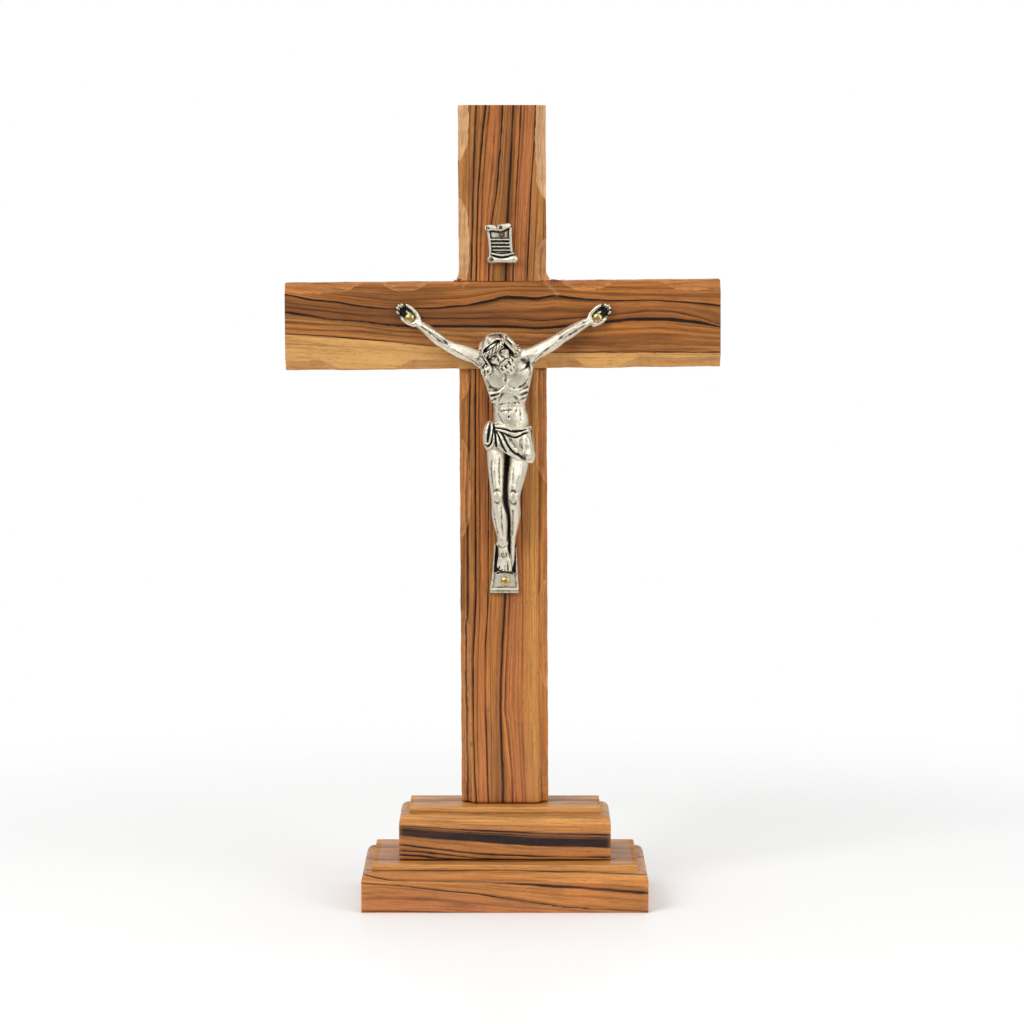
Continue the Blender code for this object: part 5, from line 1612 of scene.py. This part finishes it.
shaftBox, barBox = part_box("shaft"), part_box("crossbar")
shaftBoard = {
    "axes": "ZXY", "span": (32.2, 260.0), "width": 28.4, "thickness": 11.0, "lap": (174.65, 203.25),
    "lapDepth": 5.6, "lapSide": "front", "scoopWidth": 3.3, "runOut": 8.5,
    "scoops": {
        -1: [
            (240.8, 260.0, False, True, 0.9), (203.4, 231.4, True, False, 0.9),
            (163.8, 174.5, False, True, 0.2), (118.5, 153.3, False, False, 0.25),
            (32.2, 97.2, True, False, 0.05)
        ],
        1: [
            (228.8, 260.0, False, True, 0.95), (203.4, 218.1, True, False, 0.5),
            (136.5, 174.5, False, True, 0.15), (69.2, 107.2, False, False, 0.25),
            (32.2, 48.7, True, False, 0.1)
        ]
    },
    "flare": shaftFlare, "endEase": shaftEnds,
    "scars": [{"path": [(208.0, 13.2), (204.5, 13.8), (203.4, 14.8)], "width": 1.0}], "edges": (-20.0, 20.0),
    "tilt": 0.22, "wander": 0.0006, "jitter": 0.0005, "seed": 5.0,
    "grounds": [
        (-20, "gold"), (-12.2, "tan"), (-10.6, "tan"), (-8.6, "orange"), (-6, "rose"), (-3.4, "tan"),
        (-0.4, "brown"), (0.6, "orange"), (1.6, "rose"), (5.6, "rose"), (7.6, "tan"), (10, "gold"),
        (14, "orange"), (20, "gold")
    ],
    "lines": [
        grainLine(-17.0, 0.5, 0.6, [(32, -17.2), (260, -16.6)]),
        grainLine(
            -11.4, 0.3, 0.75,
            [(32, -11.7), (60, -11.8), (92, -12.0), (130, -11.8), (172, -10.6), (203, -10.1), (260, -8.4)]
        ),
        grainLine(
            -9.4, 0.34, 1.0,
            [
                (32, -9.1), (44, -9.9), (64, -10.2), (80, -10.1), (98, -9.2), (130, -9.0), (172, -8.8),
                (203, -8.5), (232, -7.7), (250, -6.2), (260, -4.9)
            ], -1, 2.2
        ),
        grainLine(
            -7.8, 0.22, 0.6,
            [
                (32, -8.6), (60, -9.2), (98, -8.0), (172, -7.9), (203, -7.4), (228, -6.7), (246, -5.4),
                (260, -4.2)
            ]
        ),
        grainLine(
            -5.3, 0.3, 0.9,
            [
                (32, -5.4), (50, -6.0), (70, -6.5), (84, -6.2), (98, -5.2), (140, -4.8), (172, -4.7),
                (203, -4.4), (222, -3.4), (232, -1.6), (245, -0.4), (260, 0.6)
            ]
        ),
        grainLine(
            -3.6, 0.22, 0.62,
            [
                (32, -4.4), (90, -4.6), (140, -3.6), (172, -3.6), (203, -3.3), (220, -2.4), (232, -0.9),
                (260, 1.1)
            ]
        ),
        grainLine(
            -0.5, 0.36, 1.0,
            [
                (32, -0.8), (62, -1.3), (72, -1.1), (84, -0.6), (98, 0.3), (130, 1.1), (172, 1.6), (188, 1.4),
                (203, 1.1), (226, 1.8), (260, 3.6)
            ], halo=2.8
        ),
        grainLine(
            1.4, 0.28, 0.6,
            [
                (32, 2.8), (44, 2.4), (54, 1.4), (63, 0.0), (98, 1.6), (130, 2.6), (172, 3.6), (203, 3.4),
                (232, 4.6), (246, 5.4), (260, 6.4)
            ]
        ),
        grainLine(
            6.4, 0.32, 0.72,
            [
                (32, 6.8), (44, 6.2), (70, 5.8), (98, 6.0), (130, 5.8), (172, 6.3), (203, 7.9), (232, 9.2),
                (250, 10.6), (260, 10.9)
            ]
        ),
        grainLine(
            8.8, 0.25, 0.5,
            [(32, 9.6), (70, 8.6), (98, 8.3), (130, 8.4), (172, 8.9), (203, 9.9), (232, 11.4), (260, 12.6)]
        ),
        grainLine(12.2, 0.4, 0.5, [(32, 12.4), (70, 11.2), (98, 11.4), (172, 12.0), (260, 14.4)]),
        grainLine(16.6, 0.5, 0.6, [(32, 16.4), (260, 17.4)])
    ],
    "quiet": [
        (66, 8.5, 46, 5, 0.75), (60, -7.0, 34, 1.0, 0.6), (70, -3.0, 40, 1.2, 0.5), (150, 9, 30, 2, 0.4)
    ],
    "patches": [
        (240, 0, 24, 10, -0.3), (150, -6, 30, 3, 0.35), (90, -4, 26, 4, 0.3), (66, -8, 34, 3.5, 0.4),
        (60, 3, 20, 3, 0.4), (120, 4, 22, 2.5, 0.3), (215, -2, 10, 3, 0.3)
    ],
    "cloudy": 0.35, "veined": 0.7
}
crossbarBoard = {
    "axes": "XZY", "span": (-70.7, 70.7), "width": 28.3, "thickness": 11.0, "lap": (-14.3, 14.3),
    "lapDepth": 5.4, "lapSide": "back", "scoopWidth": 3.3, "runOut": 8.5,
    "scoops": {
        1: [
            (-70.7, -45.3, True, False, 0.15), (-39.8, -23.6, False, False, 0.15),
            (18.4, 36.9, False, False, 0.12), (50.5, 70.7, False, True, 0.1)
        ],
        -1: [
            (-70.7, -52.8, True, False, 0.3), (-35.5, -14.2, False, True, 0.3),
            (14.2, 27.5, True, False, 0.3), (36.9, 70.7, False, True, 0.3)
        ]
    },
    "flare": noFlare, "endEase": barEnds,
    "scars": [
        {"path": [(13.4, 14.4), (15.6, 12.0), (17.8, 9.9)], "width": 0.5},
        {"path": [(-11.2, 14.4), (-12.8, 12.6)], "width": 0.45},
        {"path": [(-13.6, 14.4), (-15.6, 13.4)], "width": 0.5},
        {"path": [(-16.2, -12.4), (-14.0, -13.4)], "width": 0.45}
    ],
    "edges": (-20.0, 20.0), "tilt": -0.25, "wander": 0.0006, "jitter": 0.0005, "seed": 7.0,
    "grounds": [
        (-20, "honey"), (-6.4, "honey"), (-5.8, "tan"), (-3.2, "tan"), (-1.2, "gold"), (0.2, "brown"),
        (3.4, "brown"), (6.2, "tan"), (7.4, "orange"), (10.0, "tan"), (13.2, "orange"), (20, "tan")
    ],
    "lines": [
        grainLine(
            -6.0, 0.22, 0.8,
            [
                (-71, -2.2), (-58, -2.9), (-46, -4.0), (-35, -5.1), (-26, -6.2), (-11, -7.6), (1, -8.4),
                (17, -9.0), (45, -9.2), (71, -9.5)
            ], halo=2.4
        ),
        grainLine(
            -4.2, 0.5, 0.38,
            [
                (-71, -0.6), (-46, -1.6), (-35, -2.9), (-11, -5.6), (17, -6.6), (32, -6.6), (50, -6.1),
                (71, -7.0)
            ]
        ),
        grainLine(
            -2.6, 0.55, 0.42,
            [(-71, 1.6), (-46, 0.2), (-35, -1.6), (-11, -3.9), (17, -4.4), (32, -4.2), (50, -3.4), (71, -5.0)]
        ),
        grainLine(
            -1.2, 0.3, 0.45,
            [(-71, 3.0), (-46, 1.0), (-35, -0.5), (-11, -1.9), (17, -2.6), (32, -1.9), (50, -1.2), (71, -3.2)]
        ),
        grainLine(
            0.4, 0.5, 1.0,
            [
                (-71, 5.0), (-63, 3.7), (-57, 2.3), (-46, 1.6), (-40, 0.5), (-32, -0.4), (1, -0.4),
                (11, -1.3), (17, -0.8), (35, 1.1), (41, 1.7), (54, 1.6), (64, 0.8), (71, -1.2)
            ]
        ),
        grainLine(
            2.6, 0.25, 0.62,
            [
                (-71, 6.5), (-46, 3.8), (-22, 2.4), (1, 2.4), (12, 1.4), (26, 2.3), (35, 2.8), (46, 4.1),
                (55, 3.9), (64, 1.9), (71, -0.8)
            ]
        ),
        grainLine(
            4.2, 0.3, 0.4,
            [
                (-71, 8.0), (-46, 5.0), (-22, 4.2), (1, 4.4), (17, 4.9), (35, 4.4), (46, 5.4), (60, 5.0),
                (71, 2.0)
            ]
        ),
        grainLine(
            6.2, 0.34, 1.0,
            [
                (-71, 10.9), (-63, 8.9), (-54, 7.9), (-46, 6.4), (-39, 5.4), (-34, 5.4), (-21, 5.6),
                (-12, 6.5), (-5, 8.0), (1, 9.6), (11, 8.5), (17, 9.6), (25, 8.4), (35, 7.7), (48, 7.7),
                (64, 6.6), (71, 5.6)
            ], -1, 2.4
        ),
        grainLine(
            8.6, 0.7, 0.36,
            [(-71, 12.4), (-50, 10.2), (-35, 8.4), (-12, 9.4), (1, 11.4), (17, 11.0), (35, 9.6), (71, 8.8)]
        ),
        grainLine(11.4, 0.5, 0.35, [(-71, 13.6), (-35, 11.9), (1, 12.6), (35, 11.9), (71, 11.2)]),
        grainLine(15.4, 0.4, 0.5, [(-71, 16.4), (0, 15.2), (71, 15.0)])
    ],
    "quiet": [
        (-60, 2.6, 10, 0.8, 0.3), (60, -4, 14, 2, 0.3), (-50, -10.5, 42, 5.0, 0.9), (40, -13.0, 60, 3.0, 0.9)
    ],
    "patches": [
        (14, 12.6, 4, 1.6, -0.8), (-46, 4, 24, 5, -0.8), (-18, 4, 16, 4, -0.5), (-60, 0.6, 10, 1.2, 0.6),
        (38, 1, 30, 8, 0.8), (36, 11, 34, 3, 0.7), (-64, 12.5, 6, 1.5, 0.8), (-24, 11, 14, 2.4, -0.6),
        (56, -3, 18, 2, 0.4), (66, 8, 4, 3, -0.5), (-52, 13, 4, 1, 0.5)
    ],
    "cloudy": 0.5, "veined": 0.6
}


def placeShaft(local):
    return leaned(np.stack([local[:, 1], shaftBox[0].y / mm + local[:, 2], local[:, 0]], 1) * mm)


def placeBar(local):
    middle = (barBox[0].z + barBox[1].z) / 2 / mm
    points = leaned(np.stack([local[:, 0], barBox[0].y / mm + local[:, 2], middle + local[:, 1]], 1) * mm)
    points[:, 2] += crossLean["crossbar"] * points[:, 0]
    return points


kept(buildBoard("shaftWorked", shaftBoard, placeShaft), "shaft", "cross_wood")
kept(buildBoard("crossbarWorked", crossbarBoard, placeBar), "crossbar", "cross_wood")
tornStops = [(0.36, woodTones["umber"]), (0.5, woodTones["rose"]), (0.64, woodTones["cut"])]
buildSplinters(fibrousWood("torn olive wood", (1400, 1400, 1400), 4.0, tornStops, 0.5))
print("cross made")

silver = castMaterial()
for piece in buildFigure(silver):
    kept(piece, "corpus", "cast_silver")
kept(buildScroll(silver), "scroll", "cast_silver")
print("castings made")

brassTones = [linear(176, 142, 82), linear(216, 184, 116), linear(238, 212, 150)]
agedTones = [linear(70, 54, 38), linear(112, 88, 60), linear(150, 122, 84)]
steelTones = [linear(150, 150, 148), linear(186, 187, 186), linear(208, 209, 208)]
brass = metalMaterial("polished brass", brassTones, (0.22, 0.4), 0.5, 1500.0)
aged = metalMaterial("aged brass", agedTones, (0.4, 0.65), 0.5, 2400.0)
buildPins(brass, aged)
buildScrews(metalMaterial("zinc steel", steelTones, (0.3, 0.45), 0.15, 3000.0))
beechStops = [(0.3, linear(178, 132, 92)), (0.5, linear(208, 168, 124)), (0.7, linear(222, 186, 146))]
buildDowels(fibrousWood("beech dowel", (2600, 2600, 160), 3.0, beechStops, 0.3))
print("fastenings made")

bpy.context.view_layer.update()
